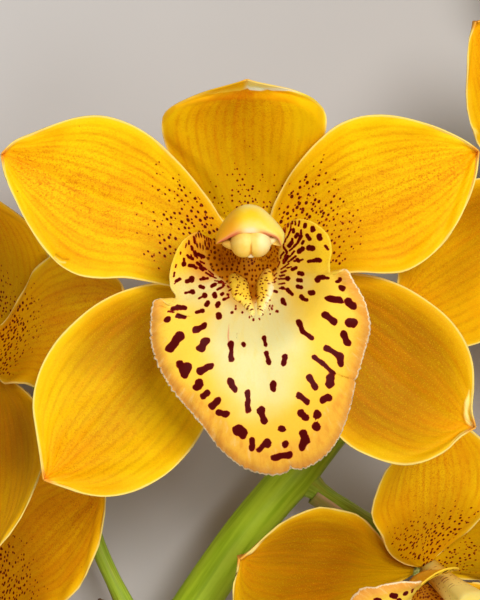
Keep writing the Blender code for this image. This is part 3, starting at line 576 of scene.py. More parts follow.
def tepal_shade(name, dots, warm):
    """Sepals and petals: golden, granular, with long soft veins, a thin pale margin that is a painted highlight, an
    olive base and, with dots, maroon specks near the base; painted shade where they lie in shade, and painted light in
    a few places. warm shifts the whole towards a darker orange, which on the far blooms is painted shade."""
    s = Shade(name, roughness=0.55, subsurface=0.04, radius=(1.0, 0.6, 0.03), depth=0.8, specular=0.05)
    t, a, part = s.split(s.attr("leaf", "Vector"))
    along, across, length = s.split(s.attr("vein", "Vector"))
    mm = s.attr("flat", "Vector")
    edge, base, front = s.attr("edge"), s.attr("base"), s.attr("front")
    slow = s.noise(mm, 0.06, 2.0)
    mid = s.noise(mm, 0.30, 3.0, 0.6)
    inside = s.ramp(edge, 0.2, 4.5, 0.25, 1.0)
    c = s.mix(s.ramp(slow, 0.38, 0.62), rgb(254, 205, 6), rgb(250, 188, 2))
    # warm: darker orange over the whole, which on the far blooms is painted shade
    c = s.mix(warm, c, rgb(228, 148, 2))
    # painted shade: darker orange where sepals and petals lie in shade
    c = s.mix(s.mul(s.attr("painted_shade"), s.ramp(slow, 0.3, 0.7, 0.86, 1.0)), c, rgb(164, 106, 0))
    # soft streaks along the veins
    wander = s.sub(s.noise(mm, 0.05, 2.0), 0.5)
    wobble = s.sub(s.noise(mm, 0.45, 2.0), 0.5)
    lane = s.add(s.mul(a, 1.0), s.mul(wander, 0.10), s.mul(wobble, 0.020))
    streak = s.noise(s.join(s.mul(lane, 8.0), s.mul(along, 0.05), s.mul(part, 9.0)), 1.0, 3.0, 0.55)
    c = s.mix(s.mul(s.ramp(streak, 0.46, 0.70), inside, 0.38 if dots else 0.26), c, rgb(232, 140, 4))
    c = s.mix(s.mul(s.ramp(streak, 0.46, 0.28), 0.22 if dots else 0.10), c, rgb(255, 220, 8))
    # the veins themselves
    x = s.add(s.mul(lane, 8.5), part)
    d = s.math("ABSOLUTE", s.sub(s.math("FRACT", x), 0.5))
    vein = s.mul(s.ramp(d, 0.30, 0.02), s.ramp(mid, 0.28, 0.60, 0.25, 1.0), inside)
    c = s.mix(s.mul(vein, 0.36 if dots else 0.27), c, rgb(206, 106, 0) if dots else rgb(172, 96, 2))
    # granular surface, browner along the middle
    middle = s.ramp(s.math("ABSOLUTE", a), 0.75, 0.1)
    tip = s.ramp(t, 0.55, 0.97)
    grain = s.noise(mm, 2.1, 2.0, 0.7)
    fine = s.noise(mm, 4.4, 1.0, 0.6)
    share = s.mul(s.add(0.24, s.mul(middle, 0.30), s.mul(tip, middle, 0.32)), s.ramp(mid, 0.25, 0.62, 0.55, 1.15), inside, 1.0 if dots else 0.62)
    c = s.mix(s.mul(s.ramp(grain, 0.50, 0.64), share), c, rgb(204, 106, 2) if dots else rgb(190, 108, 2))
    c = s.mix(s.mul(s.ramp(fine, 0.55, 0.68), share, 0.8), c, rgb(190, 90, 2) if dots else rgb(176, 96, 2))
    c = s.mix(s.mul(s.ramp(fine, 0.42, 0.30), 0.28), c, rgb(255, 218, 20))
    # an orange flush down the middle, strongest at the tip, and one beside the upper margin near the base of the
    # petals, and on the upper sepal an orange painted shade under its turned tip
    flush = s.mul(middle, s.ramp(t, 0.60, 0.98, 0.0, 0.55), s.ramp(streak, 0.30, 0.62, 0.35, 1.0))
    c = s.mix(flush, c, rgb(244, 148, 4))
    c = s.mix(s.mul(s.attr("flush_and_fold_shade"), s.ramp(grain, 0.3, 0.6, 0.40, 0.75)), c, rgb(228, 122, 0))
    # painted light: clearer yellow on parts of the upper sepal and the left lateral sepal
    c = s.mix(s.attr("painted_light"), c, rgb(255, 212, 8))
    # the rolled rim of the upper sepal: painted shade orange in the crease, then clear yellow
    top = s.attr("top")
    hem, right, far = s.split(s.attr("hem", "Vector"))
    rim = s.mix(s.ramp(edge, 2.6, 0.6), rgb(228, 128, 0), rgb(252, 184, 12))
    rim = s.mix(s.mul(right, 0.5), rim, rgb(250, 184, 2))
    rim = s.mix(s.mul(far, 0.75), rim, rgb(255, 206, 8))
    c = s.mix(s.mul(top, s.sub(0.80, s.mul(s.attr("flush_and_fold_shade"), 0.70))), c, rim)
    # a dark line: painted shade along the creases of the upper sepal and of the right lateral sepal's tip, and a brown
    # torn edge at the petal's nick
    c = s.mix(s.mul(s.attr("line"), front, 0.60), c, rgb(168, 84, 2))
    # olive at the base
    olive = s.mul(s.ramp(base, 31.0, 12.0), s.sub(1.0, s.mul(s.attr("flush_and_fold_shade"), 0.6)))
    c = s.mix(s.mul(olive, 0.66), c, rgb(200, 156, 0))
    if dots:
        spread = s.attr("speck", "Vector")
        many = s.attr("dots")
        for cell, share, big in ((1.16, 0.96, 0.355), (0.90, 0.26, 0.20)):
            dist, one, two = s.cells(spread, 1.0 / cell, 0.85)
            size = s.mul(s.add(s.mul(two, 0.4), 0.6), big / cell, s.add(s.mul(many, 0.60), 0.40))
            there = s.ramp(s.sub(s.mul(many, share), one), -0.01, 0.01)
            c = s.mix(s.mul(s.ramp(s.sub(dist, size), 0.16, 0.0), there, front, 0.50), c, rgb(216, 84, 8))
            dot = s.mul(s.ramp(s.sub(dist, size), 0.035, -0.035), there, front)
            c = s.mix(s.mul(dot, 0.98), c, rgb(84, 8, 0))
    # thin pale margin and pale folds, painted highlights where thin edges and folds catch the light, and the horny tip
    rag = s.add(edge, s.mul(s.sub(mid, 0.5), 0.35))
    plain = s.sub(1.0, s.mul(top, s.sub(1.0, far), 0.75))
    c = s.mix(s.mul(s.ramp(rag, 1.5, 0.3, 0.0, 0.35), plain), c, rgb(255, 214, 40))
    c = s.mix(s.mul(s.ramp(rag, 0.50, 0.12, 0.0, 0.72), plain), c, rgb(255, 232, 138))
    c = s.mix(s.ramp(t, 0.955, 0.985, 0.0, 0.75), c, rgb(244, 152, 24))
    c = s.mix(s.mul(s.ramp(s.attr("cream"), 0.72, 0.12), front, 0.85), c, rgb(255, 236, 142))
    # the turned hem: orange-yellow on one side of the tip, and a pale painted highlight on the other
    over = s.mix(s.ramp(hem, 0.0, 1.0), rgb(255, 208, 62), rgb(255, 194, 16))
    pale = s.mix(s.ramp(hem, 0.95, 0.35), rgb(255, 238, 140), rgb(255, 255, 222))
    over = s.mix(right, over, s.mix(far, pale, rgb(255, 222, 60)))
    c = s.mix(s.mul(s.ramp(hem, -0.08, 0.16), front, 0.96), c, over)
    s.colour(c)
    s.bump(s.add(s.mul(streak, 0.6), s.mul(vein, -0.15), s.mul(grain, 0.35), s.mul(fine, 0.18)), 0.5, 0.4)
    return s.mat


def lip_shade(name):
    """The lip: cream heart, yellow round it, a peach-tan band and a pale fringe, maroon marks, a brown throat, painted
    shade beside and between the keels and in a tear and a crease, and a painted highlight on one keel.
    """
    s = Shade(name, roughness=0.50, subsurface=0.05, radius=(1.0, 0.6, 0.2), depth=0.6, specular=0.06)
    mm = s.attr("flat", "Vector")
    around, out, side = s.split(s.attr("leaf", "Vector"))
    turn, reach, wing = s.split(s.attr("polar", "Vector"))
    edge, front, spot, keel = s.attr("edge"), s.attr("front"), s.attr("spot"), s.attr("keel")
    deep, lobe, heart = s.attr("deep"), s.attr("lobe"), s.attr("heart")
    slow = s.noise(mm, 0.12, 2.0)
    mid = s.noise(mm, 0.6, 3.0, 0.6)
    grain = s.noise(mm, 2.6, 2.0, 0.65)
    maroon, red = rgb(80, 2, 1), rgb(140, 18, 12)
    # cream heart, yellow round it, tan towards the margin
    warm = s.add(heart, s.mul(s.sub(slow, 0.5), 0.4))
    c = s.mix(s.ramp(warm, 0.45, 1.05), rgb(233, 222, 152), rgb(249, 208, 70))
    c = s.mix(s.mul(s.ramp(reach, 116, 162), s.ramp(warm, 0.60, 1.05), 0.52), c, rgb(238, 180, 42))
    ray = s.noise(s.join(s.mul(turn, 9.0), s.mul(reach, 0.03), 0.0), 1.0, 3.0, 0.6)
    c = s.mix(s.mul(s.ramp(ray, 0.46, 0.66), s.ramp(heart, 1.2, 0.3), 0.35), c, rgb(236, 212, 104))
    c = s.mix(s.mul(s.ramp(s.attr("smear"), 0.30, 0.05), front, 0.65), c, rgb(224, 110, 92))
    c = s.mix(s.mul(s.attr("sun"), 0.80), c, rgb(255, 208, 26))
    c = s.mix(s.mul(s.attr("gold"), 0.80), c, rgb(220, 146, 26))
    wide = s.attr("band")
    brush = s.noise(s.join(s.mul(turn, 26.0), s.mul(reach, 0.045), 0.0), 1.0, 3.0, 0.6)
    rag = s.add(edge, s.mul(s.sub(slow, 0.5), 2.6), s.mul(s.sub(mid, 0.5), 1.6), s.mul(s.sub(brush, 0.5), 2.8))
    band = s.ramp(s.sub(rag, wide), 1.3, -1.4)
    tan = s.mix(s.ramp(edge, 2.8, 0.5), rgb(242, 178, 58), rgb(234, 160, 70))
    tan = s.mix(s.ramp(brush, 0.45, 0.68, 0.0, 0.60), tan, rgb(222, 138, 46))
    tan = s.mix(s.ramp(brush, 0.45, 0.30, 0.0, 0.50), tan, rgb(252, 204, 124))
    c = s.mix(s.mul(band, s.ramp(lobe, 1.0, 0.0, 0.0, 0.92)), c, tan)
    c = s.mix(s.mul(s.ramp(grain, 0.50, 0.68), s.ramp(edge, 6.0, 1.5, 0.05, 0.25)), c, rgb(222, 136, 34))
    # painted shadow on the cream beside the left keel's base, the throat with its rows of dots, and painted shade
    # darker in the channel between the keels
    c = s.mix(s.mul(s.attr("keel_shadow"), 0.75), c, rgb(204, 152, 50))
    brown = s.mix(s.ramp(reach, 50, 34), rgb(222, 146, 6), rgb(206, 134, 0))
    c = s.mix(s.mul(deep, 0.95), c, brown)
    channel_shade = s.mul(s.ramp(reach, 24, 30), s.ramp(reach, 48, 40), s.ramp(s.math("ABSOLUTE", turn), 0.42, 0.22))
    c = s.mix(s.mul(channel_shade, deep, 0.75), c, rgb(150, 84, 0))
    x, y, z = s.split(mm)
    above = s.mul(s.ramp(s.math("ABSOLUTE", turn), 1.25, 1.6), s.ramp(reach, 36, 28))
    dist, one, two = s.cells(s.join(x, s.mul(y, 0.80), 0.0), 1.0, 0.8)
    dot = s.mul(s.ramp(s.sub(dist, s.add(s.mul(two, 0.12), 0.20)), 0.05, -0.05), s.ramp(deep, 0.25, 0.6), s.sub(1.0, above))
    ring = s.mul(s.ramp(s.sub(dist, s.add(s.mul(two, 0.12), 0.20)), 0.22, 0.0), s.ramp(deep, 0.25, 0.6), s.sub(1.0, above), front)
    c = s.mix(s.mul(ring, 0.38), c, rgb(196, 74, 4))
    c = s.mix(s.mul(dot, front, 0.90), c, rgb(84, 8, 0))
    dist, one, two = s.cells(s.join(x, s.mul(y, 0.62), 0.0), 1.75, 0.85)
    dot = s.mul(s.ramp(s.sub(dist, s.add(s.mul(two, 0.16), 0.20)), 0.08, -0.06), s.ramp(deep, 0.4, 0.8), above)
    ring = s.mul(s.ramp(s.sub(dist, s.add(s.mul(two, 0.16), 0.20)), 0.22, 0.0), s.ramp(deep, 0.4, 0.8), above, front)
    c = s.mix(s.mul(ring, 0.38), c, rgb(196, 74, 4))
    c = s.mix(s.mul(dot, front, 0.84), c, rgb(100, 16, 0))
    # keels: painted shadow lines along their left edges, and a painted highlight on the right keel's right flank
    dist, one, two = s.cells(s.join(x, s.mul(y, 0.95), 0.0), 1.35)
    on_keel = s.ramp(keel, -0.30, 0.35)
    size = s.add(s.mul(two, 0.12), 0.14)
    face_on = s.mul(s.ramp(keel, 0.2, 0.7), s.sub(1.0, s.attr("pale")))
    dot = s.mul(s.ramp(s.sub(dist, size), 0.05, -0.05), face_on)
    face = s.mix(s.ramp(reach, 16, 27), rgb(250, 196, 84), s.mix(s.ramp(reach, 38, 56), rgb(255, 220, 66), rgb(255, 238, 140)))
    face = s.mix(s.attr("pale"), face, rgb(255, 244, 204))
    c = s.mix(s.mul(s.attr("outline"), front, 0.70), c, rgb(176, 104, 8))
    c = s.mix(s.mul(on_keel, 0.97), c, face)
    c = s.mix(s.mul(s.ramp(s.sub(dist, size), 0.16, 0.0), face_on, front, 0.45), c, rgb(214, 96, 14))
    c = s.mix(s.mul(dot, front, 0.94), c, rgb(104, 14, 2))
    # blotches
    ragged = s.add(spot, s.mul(s.sub(s.noise(mm, 0.9, 1.0), 0.5), 0.26), s.mul(s.sub(s.noise(mm, 2.4, 1.0), 0.5), 0.16))
    mark = s.mul(s.ramp(ragged, 0.030, -0.030), front)
    halo = s.mul(s.ramp(ragged, 0.14, 0.0, 0.0, 0.30), front)
    c = s.mix(halo, c, rgb(206, 92, 30))
    c = s.mix(mark, c, s.mix(s.ramp(ragged, -0.02, -0.22), red, maroon))
    # painted shade: a dark line in the tear and in the crease by the left corner
    c = s.mix(s.mul(s.ramp(s.attr("crease_shade"), 0.20, 0.06), front, 0.85), c, rgb(96, 20, 8))
    # close thin streaks at the top of one lobe
    dist, one, two = s.cells(s.join(s.add(s.mul(x, 1.95), s.mul(y, 0.12)), s.mul(y, 0.52), 0.0), 1.0, 0.65)
    thin = s.mul(s.ramp(s.sub(dist, s.add(s.mul(two, 0.12), 0.30)), 0.07, -0.07), s.ramp(s.attr("thin"), 0.25, 0.6), front)
    c = s.mix(s.mul(s.ramp(dist, 0.62, 0.36), s.ramp(s.attr("thin"), 0.25, 0.6), front, 0.45), c, rgb(214, 110, 20))
    c = s.mix(s.mul(thin, 0.97), c, rgb(96, 4, 2))
    # pale ragged fringe
    fringe = s.ramp(s.add(edge, s.mul(s.sub(s.noise(mm, 2.2, 2.0), 0.5), 0.8)), 0.46, 0.14)
    c = s.mix(s.mul(fringe, s.ramp(lobe, 1.0, 0.0, 0.04, 0.88)), c, rgb(255, 232, 188))
    s.colour(c)
    s.bump(s.add(s.mul(grain, 0.4), s.mul(mid, 0.4), s.mul(ray, 0.5), s.mul(brush, band, 0.8)), 0.35, 0.3)
    return s.mat


def column_shade(name):
    s = Shade(name, roughness=0.42, subsurface=0.10, radius=(1.0, 0.6, 0.15), depth=1.0, specular=0.22)
    mm = s.attr("flat", "Vector")
    x, y, z = s.split(mm)
    rim, dome = s.attr("rim"), s.attr("dome")
    mid = s.noise(mm, 0.5, 2.0)
    # the hood painted as lit: paler over its top and on its right as painted light, a paler painted sheen near the rim,
    # and darker orange painted shade on its left
    lit = s.add(dome, s.mul(s.sub(mid, 0.5), 0.3))
    c = s.mix(s.ramp(lit, 0.0, 0.55), s.mix(s.ramp(x, -3.6, -0.4), rgb(252, 222, 90), rgb(255, 242, 158)), rgb(250, 208, 34))
    c = s.mix(s.ramp(lit, 0.60, 0.98, 0.0, 0.75), c, rgb(248, 214, 118))
    c = s.mix(s.ramp(z, 22.0, 8.0), c, rgb(206, 150, 30))
    left = s.mul(s.ramp(x, -0.6, -4.6), s.ramp(dome, 0.10, 0.75, 0.45, 0.90))
    c = s.mix(left, c, rgb(226, 146, 6))
    right = s.mul(s.ramp(x, 0.5, 5.0), s.ramp(dome, 0.95, 0.4))
    c = s.mix(s.mul(right, 0.65), c, rgb(253, 238, 130))
    c = s.mix(s.mul(s.ramp(x, 5.2, 7.0), s.ramp(dome, 0.55, 0.95), 0.70), c, rgb(218, 130, 56))
    # the rim: pink to red, with a painted highlight white in the middle
    away = s.math("ABSOLUTE", x)
    blur = s.add(rim, s.mul(s.sub(mid, 0.5), 0.3))
    c = s.mix(s.mul(s.ramp(blur, 0.0, 0.75), s.ramp(away, 1.5, 3.4, 0.15, 0.60)), c, rgb(226, 138, 96))
    c = s.mix(s.mul(s.ramp(blur, 0.72, 1.0), s.ramp(away, 1.2, 3.6, 0.1, 0.70)), c, rgb(190, 74, 44))
    c = s.mix(s.mul(s.ramp(blur, 0.0, 0.8), s.ramp(away, 2.2, 0.3), 0.55), c, rgb(252, 230, 196))
    dist, one, two = s.cells(s.join(s.mul(x, 1.0), z, 0.0), 1.0)
    dot = s.mul(s.ramp(s.sub(dist, s.add(s.mul(two, 0.12), 0.12)), 0.03, -0.05), s.ramp(z, 22.0, 16.0), s.ramp(one, 0.5, 0.45))
    c = s.mix(s.mul(dot, 0.8), c, rgb(120, 30, 10))
    s.colour(c)
    s.bump(mid, 0.2, 0.25)
    return s.mat


def cap_shade(name):
    s = Shade(name, roughness=0.42, subsurface=0.12, radius=(1.0, 0.65, 0.3), depth=1.0, specular=0.18)
    mm = s.attr("flat", "Vector")
    x, y, z = s.split(mm)
    c = s.mix(s.ramp(s.noise(mm, 0.5, 2.0), 0.35, 0.65), rgb(248, 216, 112), rgb(243, 205, 92))
    # painted shade darker on the left lobe, and painted light paler on the right lobe
    c = s.mix(s.ramp(x, -0.8, -4.4, 0.0, 0.65), c, rgb(198, 138, 40))
    c = s.mix(s.ramp(x, 0.8, 2.6, 0.0, 0.55), c, rgb(255, 242, 190))
    c = s.mix(s.ramp(y, 0.6, -2.2, 0.0, 0.60), c, rgb(242, 180, 46))
    # painted shade in the cleft between the lobes
    c = s.mix(s.ramp(s.attr("groove"), 0.15, 0.9, 0.0, 0.80), c, rgb(222, 146, 26))
    c = s.mix(s.ramp(s.attr("beak"), 0.3, 0.8, 0.0, 0.80), c, rgb(255, 232, 186))
    s.colour(c)
    s.bump(s.noise(mm, 1.6, 2.0), 0.15, 0.25)
    return s.mat


def stem_shade(name, light, dark, tinge, tinge_share, streaks=14.0):
    """Scape and stalks: satin green with long streaks and a waxy bloom."""
    s = Shade(name, roughness=0.42, subsurface=0.04, radius=(0.5, 1.0, 0.15), depth=1.0, specular=0.22)
    along, angle, cap = s.attr("along"), s.attr("angle"), s.attr("cap")
    ring = s.join(s.mul(s.math("COSINE", angle), 1.0), s.mul(s.math("SINE", angle), 1.0), s.mul(along, 0.012))
    streak = s.noise(ring, streaks, 3.0, 0.6)
    ring2 = s.join(s.math("COSINE", angle), s.math("SINE", angle), s.mul(along, 0.05))
    patch = s.noise(ring2, 1.6, 2.0)
    grain = s.noise(s.place(), 900.0, 2.0)
    c = s.mix(s.ramp(streak, 0.35, 0.66), dark, light)
    c = s.mix(s.mul(s.ramp(patch, 0.45, 0.7), 0.5), c, light)
    c = s.mix(s.mul(s.ramp(patch, 0.5, 0.3), tinge_share), c, tinge)
    c = s.mix(s.mul(s.ramp(grain, 0.5, 0.75), 0.12), c, dark)
    # the cut face: pale pith with darker strands and a browning rim
    dist, one, two = s.cells(s.place(), 1500.0)
    pith = s.mix(s.ramp(dist, 0.5, 0.2), rgb(206, 214, 128), rgb(140, 158, 66))
    pith = s.mix(s.ramp(cap, 1.25, 1.0), pith, rgb(136, 128, 50))
    c = s.mix(s.ramp(cap, 0.5, 0.95), c, pith)
    s.colour(c)
    s.bump(s.add(s.mul(streak, 0.5), s.mul(grain, 0.15)), 0.25, 0.3)
    return s.mat


def bract_shade(name):
    s = Shade(name, roughness=0.6, subsurface=0.12, radius=(1.0, 0.5, 0.25), depth=0.8, specular=0.3)
    t, a, part = s.split(s.attr("leaf", "Vector"))
    mm = s.attr("flat", "Vector")
    edge = s.attr("edge")
    line = s.noise(s.join(s.mul(a, 14.0), s.mul(t, 1.2), part), 1.0, 3.0, 0.6)
    patch = s.noise(mm, 0.3, 3.0)
    c = s.mix(s.ramp(line, 0.35, 0.65), rgb(196, 148, 104), rgb(150, 98, 60))
    c = s.mix(s.mul(s.ramp(t, 0.55, 0.0), s.ramp(patch, 0.3, 0.6, 0.4, 0.9)), c, rgb(150, 150, 62))
    c = s.mix(s.ramp(edge, 1.2, 0.1, 0.0, 0.8), c, rgb(216, 178, 134))
    c = s.mix(s.ramp(t, 0.86, 1.0, 0.0, 0.7), c, rgb(112, 66, 36))
    s.colour(c)
    s.bump(line, 0.5, 0.3)
    return s.mat


def bud_shade(name):
    s = Shade(name, roughness=0.40, subsurface=0.15, radius=(1.0, 0.6, 0.1), depth=1.6, specular=0.45)
    along, angle = s.attr("along"), s.attr("angle")
    share = s.attr("share")
    ring = s.join(s.math("COSINE", angle), s.math("SINE", angle), s.mul(along, 0.03))
    streak = s.noise(ring, 9.0, 3.0, 0.6)
    patch = s.noise(ring, 1.8, 2.0)
    seam = s.attr("seam")
    c = s.mix(s.ramp(share, 0.05, 0.62), rgb(122, 142, 36), rgb(206, 178, 44))
    c = s.mix(s.ramp(share, 0.55, 0.95, 0.0, 0.65), c, rgb(236, 176, 40))
    c = s.mix(s.mul(s.ramp(streak, 0.42, 0.66), 0.4), c, rgb(164, 132, 26))
    c = s.mix(s.mul(s.ramp(patch, 0.5, 0.72), 0.5), c, rgb(190, 120, 40))
    c = s.mix(s.mul(seam, 0.7), c, rgb(236, 206, 96))
    s.colour(c)
    s.bump(streak, 0.3, 0.25)
    return s.mat


SHADES = {
    "tepal_dots": tepal_shade("tepal_dots", True, 0.0),
    "tepal_plain": tepal_shade("tepal_plain", False, 0.12),
    # copies for the far blooms, darker orange as painted shade
    "far_tepal_dots": tepal_shade("far_tepal_dots", True, 0.45),
    "far_tepal_plain": tepal_shade("far_tepal_plain", False, 0.50),
    "lip": lip_shade("lip"),
    "column": column_shade("column"),
    "cap": cap_shade("cap"),
    "scape": stem_shade("scape_green", rgb(178, 206, 46), rgb(146, 180, 26), rgb(168, 176, 40), 0.25, 3.5),
    "stalk": stem_shade("stalk_green", rgb(178, 204, 66), rgb(140, 170, 40), rgb(186, 160, 56), 0.35, 5.0),
    "bract": bract_shade("bract"),
    "bud": bud_shade("bud"),
}


# ---------------------------------------------------------------- a bloom
def bloom_axes(spec):
    z = unit(spec["face"])
    y = np.array(spec["top"], float)
    y = unit(y - z * (y @ z))
    return np.array([np.cross(y, z), y, z])


def fold_forward(p, close, angle):
    """Turns a sepal or petal forward about its claw, as the frame's is."""
    if not close:
        return p
    out = np.array([math.cos(math.radians(angle)), math.sin(math.radians(angle)), 0.0])
    far = np.clip(p @ out - 4.0, 0, None)
    turn = math.radians(close) * smooth(0, 30, far)
    keep = (p @ out)[..., None] * out
    side = p - keep
    far2 = 4.0 + (p @ out - 4.0) * np.cos(turn)
    lift = far * np.sin(turn)
    return side + far2[..., None] * out + lift[..., None] * np.array([0, 0, 1.0])


def from_line(q, line):
    """Distance on the sheet from each point of q to a line of points."""
    best = np.full(q.shape[:-1], 1e9)
    for a, b in zip(line[:-1], line[1:]):
        ab = b - a
        f = np.clip(((q - a) @ ab) / max(ab @ ab, 1e-9), 0, 1)
        w = q - a - f[..., None] * ab
        best = np.minimum(best, (w * w).sum(-1))
    return np.sqrt(best)


def tepal(bloom, part, outline, depth, spec, axes, at, angle, n, seed):
    """One sepal or petal."""
    main = bloom == FRONT
    rng = np.random.default_rng(seed)
    nu, nv = n
    t = np.linspace(0, 0.9985, nu + 1) ** 0.92
    a, b = crv(outline[0], t), crv(outline[1], t)
    s = np.sin(np.linspace(-1, 1, nv + 1) * np.pi / 2 * 0.92) / math.sin(np.pi / 2 * 0.92)
    T, S = np.meshgrid(t, s, indexing="ij")
    u = (a[:, None, 0] * (1 - S) + b[:, None, 0] * (1 + S)) / 2
    v = (a[:, None, 1] * (1 - S) + b[:, None, 1] * (1 + S)) / 2
    wide = np.linalg.norm(a - b, axis=1)[:, None] * SHEET / 2
    round_it = np.concatenate([crv(outline[0], 140)[4:], crv(outline[1], 140)[::-1][1:-4]])
    edge = from_line(np.stack([u, v], -1), round_it) * SHEET
    base = np.hypot(u - CENTRE[0], v - CENTRE[1]) * SHEET
    ridge = (a + b) / 2
    len_mm = float(np.linalg.norm(np.diff(ridge, axis=0), axis=1).sum()) * SHEET
    z = depth(u, v, T, S)
    # gentle folds along the veins, and a margin that waves a little
    fold, wave, roll = waves(rng, 4, 5, 14), waves(rng, 4, 8, 20), waves(rng, 3, 1.5, 4)
    inner = smooth(2, 14, base)
    z = z + 0.16 * fold(S * 1.6 + 0.4 * roll(T * 3)) * inner
    z = z + 0.55 * wave(T * 2.2 + S) * smooth(5.0, 0.0, edge) * inner * smooth(0, 0.12, 1 - T)
    z = z + 0.45 * roll(T * 2.0 + S * 1.4) * inner
    top = np.zeros_like(T)
    flush_and_fold_shade = np.zeros_like(T)
    line = np.zeros_like(T)
    cream = np.full_like(T, 9.0)
    painted_light = np.zeros_like(T)
    fold_over = np.stack([np.full_like(T, -9.0), 0 * T, 0 * T], -1)
    place = np.stack([u, v], -1)
    if part == "dorsal_sepal":
        # its rim rolls back outwards round the top, behind a crease
        crease = np.interp(u, [163, 168, 176, 188, 205, 235, 262, 287, 305, 316, 323],
                           [126, 118, 109.5, 103.8, 100.6, 98.2, 98.5, 101.5, 107.5, 116, 126])
        over = (crease - v) * SHEET
        hem_u, hem_v = np.array(HEM).T
        hem = (np.interp(u, hem_u, hem_v) - v) * SHEET
        z = z - 0.41 * (over + np.sqrt(over ** 2 + 0.10)) + 0.20 * (hem + np.sqrt(hem ** 2 + 0.16)) * smooth(200, 236, u) * smooth(304, 272, u)
        z = z - 0.14 * np.exp(-(over / 0.5) ** 2)
        # painted shade darkens its middle below the crease, a dark line of painted shade runs along the crease, an
        # orange patch of painted shade lies under the turned tip, and painted light brightens its right side
        painted_shade = 0.42 * smooth(0.70, 0.0, np.abs(S + 0.16)) * smooth(0.3, -0.8, over) * smooth(1.0, 4.0, edge)
        line = 0.55 * np.exp(-((over + 0.1) / 0.40) ** 2) * smooth(300, 250, u) * smooth(166, 190, u)
        flush_and_fold_shade = np.exp(-((u - 249) / 15.0) ** 2 - ((v - 91.5) / 6.5) ** 2)
        fold_over = np.stack([hem, smooth(242, 251, u), smooth(284, 304, u)], -1)
        top = smooth(-0.1, 0.35, over)
        midline = np.exp(-((u - 246) / 12.0) ** 2)
        dots = (0.55 + 0.35 * midline) * smooth(21.0 + 5.5 * midline, 8.5, base) * smooth(0.9, 3.0, edge)
        painted_light = 0.62 * np.exp(-((u - 305) / 20.0) ** 2 - ((v - 120) / 26.0) ** 2) * smooth(0.8, -0.6, over)
    elif part in ("petal_left", "petal_right"):
        z = z - 0.35 * smooth(1.6, 0.0, edge) * inner
        dots = smooth(30.0, 13.5, base) * smooth(0.9, 2.4, edge)
        # painted shade, darker on the lower side near the middle of the flower, most on the left petal
        painted_shade = (0.80 if part == "petal_left" else 0.47) * smooth(0.0, 0.65, S) * smooth(9, 15, base) * smooth(31, 18, base)
        painted_shade = painted_shade + 0.10 * smooth(0.8, 0.0, np.abs(S + 0.1)) * smooth(54, 30, base) * smooth(14, 26, base)
        flush_and_fold_shade = (0.70 if part == "petal_left" else 0.50) * smooth(0.45, -0.60, S) * smooth(25, 10, base)
        if part == "petal_left":
            # a painted highlight on the lifted lip of the nick, and a brown line below it
            cream = from_line(place, np.array([(55, 257.5), (60, 262), (65, 262.5)])) * SHEET + 0.36
            line = np.exp(-((from_line(place, np.array([(56, 254.5), (62, 259.5), (68, 260)])) * SHEET) / 0.22) ** 2)
    else:
        z = z - 0.35 * smooth(1.6, 0.0, edge) * inner
        dots = np.zeros_like(T)
        if part == "lateral_sepal_left":
            # painted shade darkens the middle away from the margins and the upper part by the petal, and painted light
            # brightens a patch near the lip
            painted_shade = 0.08 + (0.66 - 0.56 * smooth(0.05, 0.6, S) - 0.50 * smooth(0.2, -0.5, S) * smooth(355, 395, v)) * smooth(0.8, 7.5, edge) * smooth(68, 42, base)
            painted_shade = painted_shade + 0.42 * smooth(365, 295, v) * smooth(0.0, -0.8, S) * smooth(0.3, 2.5, edge)
            painted_light = np.exp(-((u - 178) / 34.0) ** 2 - ((v - 408) / 42.0) ** 2)
            painted_shade = painted_shade * (1.0 - 0.72 * painted_light)
            painted_light = 0.28 * painted_light
        else:
            # painted shade darkens the middle away from the margins; at the tip a painted highlight lies on the fold,
            # with a dark line of painted shade in the crease beside it
            painted_shade = 0.30 + 0.66 * smooth(0.5, 6.5, edge) * smooth(74, 44, base)
            fold = from_line(place, np.array([(469.8, 390), (467.4, 402), (466.8, 413), (468.4, 421), (473.5, 426)])) * SHEET
            cream = fold + 0.45 * smooth(404, 388, v)
            line = 0.7 * np.exp(-((fold - 0.85) / 0.3) ** 2) * smooth(398, 410, v) * smooth(1, 0.3, fold - 0.9)
    if part == "petal_left":
        # a small nick with a lifted lip in the lower margin
        nick = np.hypot(u - 59, v - 262) * SHEET
        z = z + 1.1 * np.exp(-(nick / 1.5) ** 2)
    # the last of the tip is pinched to a channel
    pinch = smooth(0.90, 1.0, T)
    z = z + (1.5 if "lateral" in part else 0.7) * S * S * pinch * smooth(0, 0.3, 1.0 - pinch * 0.7)
    # a slight keel along the midrib
    z = z - 0.30 * np.exp(-(S * wide / 1.3) ** 2) * inner * smooth(1.0, 0.7, T)
    p = to_space(u, v, z)
    p = fold_forward(p, spec["close"], angle)
    flip = -1.0 if spec["mirror"] else 1.0
    size = spec["size"]
    flat = p * size
    # the specks lie aslant on the petals
    lean = {"petal_left": -0.91, "petal_right": 1.0}.get(part, 1.57)
    speck = np.stack([(p[..., 0] * math.cos(lean) + p[..., 1] * math.sin(lean)) * (0.74 if "petal" in part else 0.92),
                      p[..., 1] * math.cos(lean) - p[..., 0] * math.sin(lean), 0 * u], -1) + (0 if main else rng.uniform(0, 90))
    world = at + (p * np.array([flip * size, size, size])) @ axes
    thick = 0.34 + 0.66 * smooth(0.0, 3.2, edge)
    attributes = {
        "leaf": np.stack([T, S, np.full_like(T, float(rng.uniform(0, 1)))], -1),
        "flat": flat + rng.uniform(-200, 200, 3) * (0 if main else 1),
        "vein": np.stack([T * len_mm, S * wide, np.full_like(T, len_mm)], -1) + (0 if main else rng.uniform(0, 60)),
        "edge": edge * size, "base": base * size, "top": top, "painted_shade": painted_shade, "dots": dots, "cream": cream,
        "flush_and_fold_shade": flush_and_fold_shade, "line": line, "speck": speck, "hem": fold_over, "painted_light": painted_light,
    }
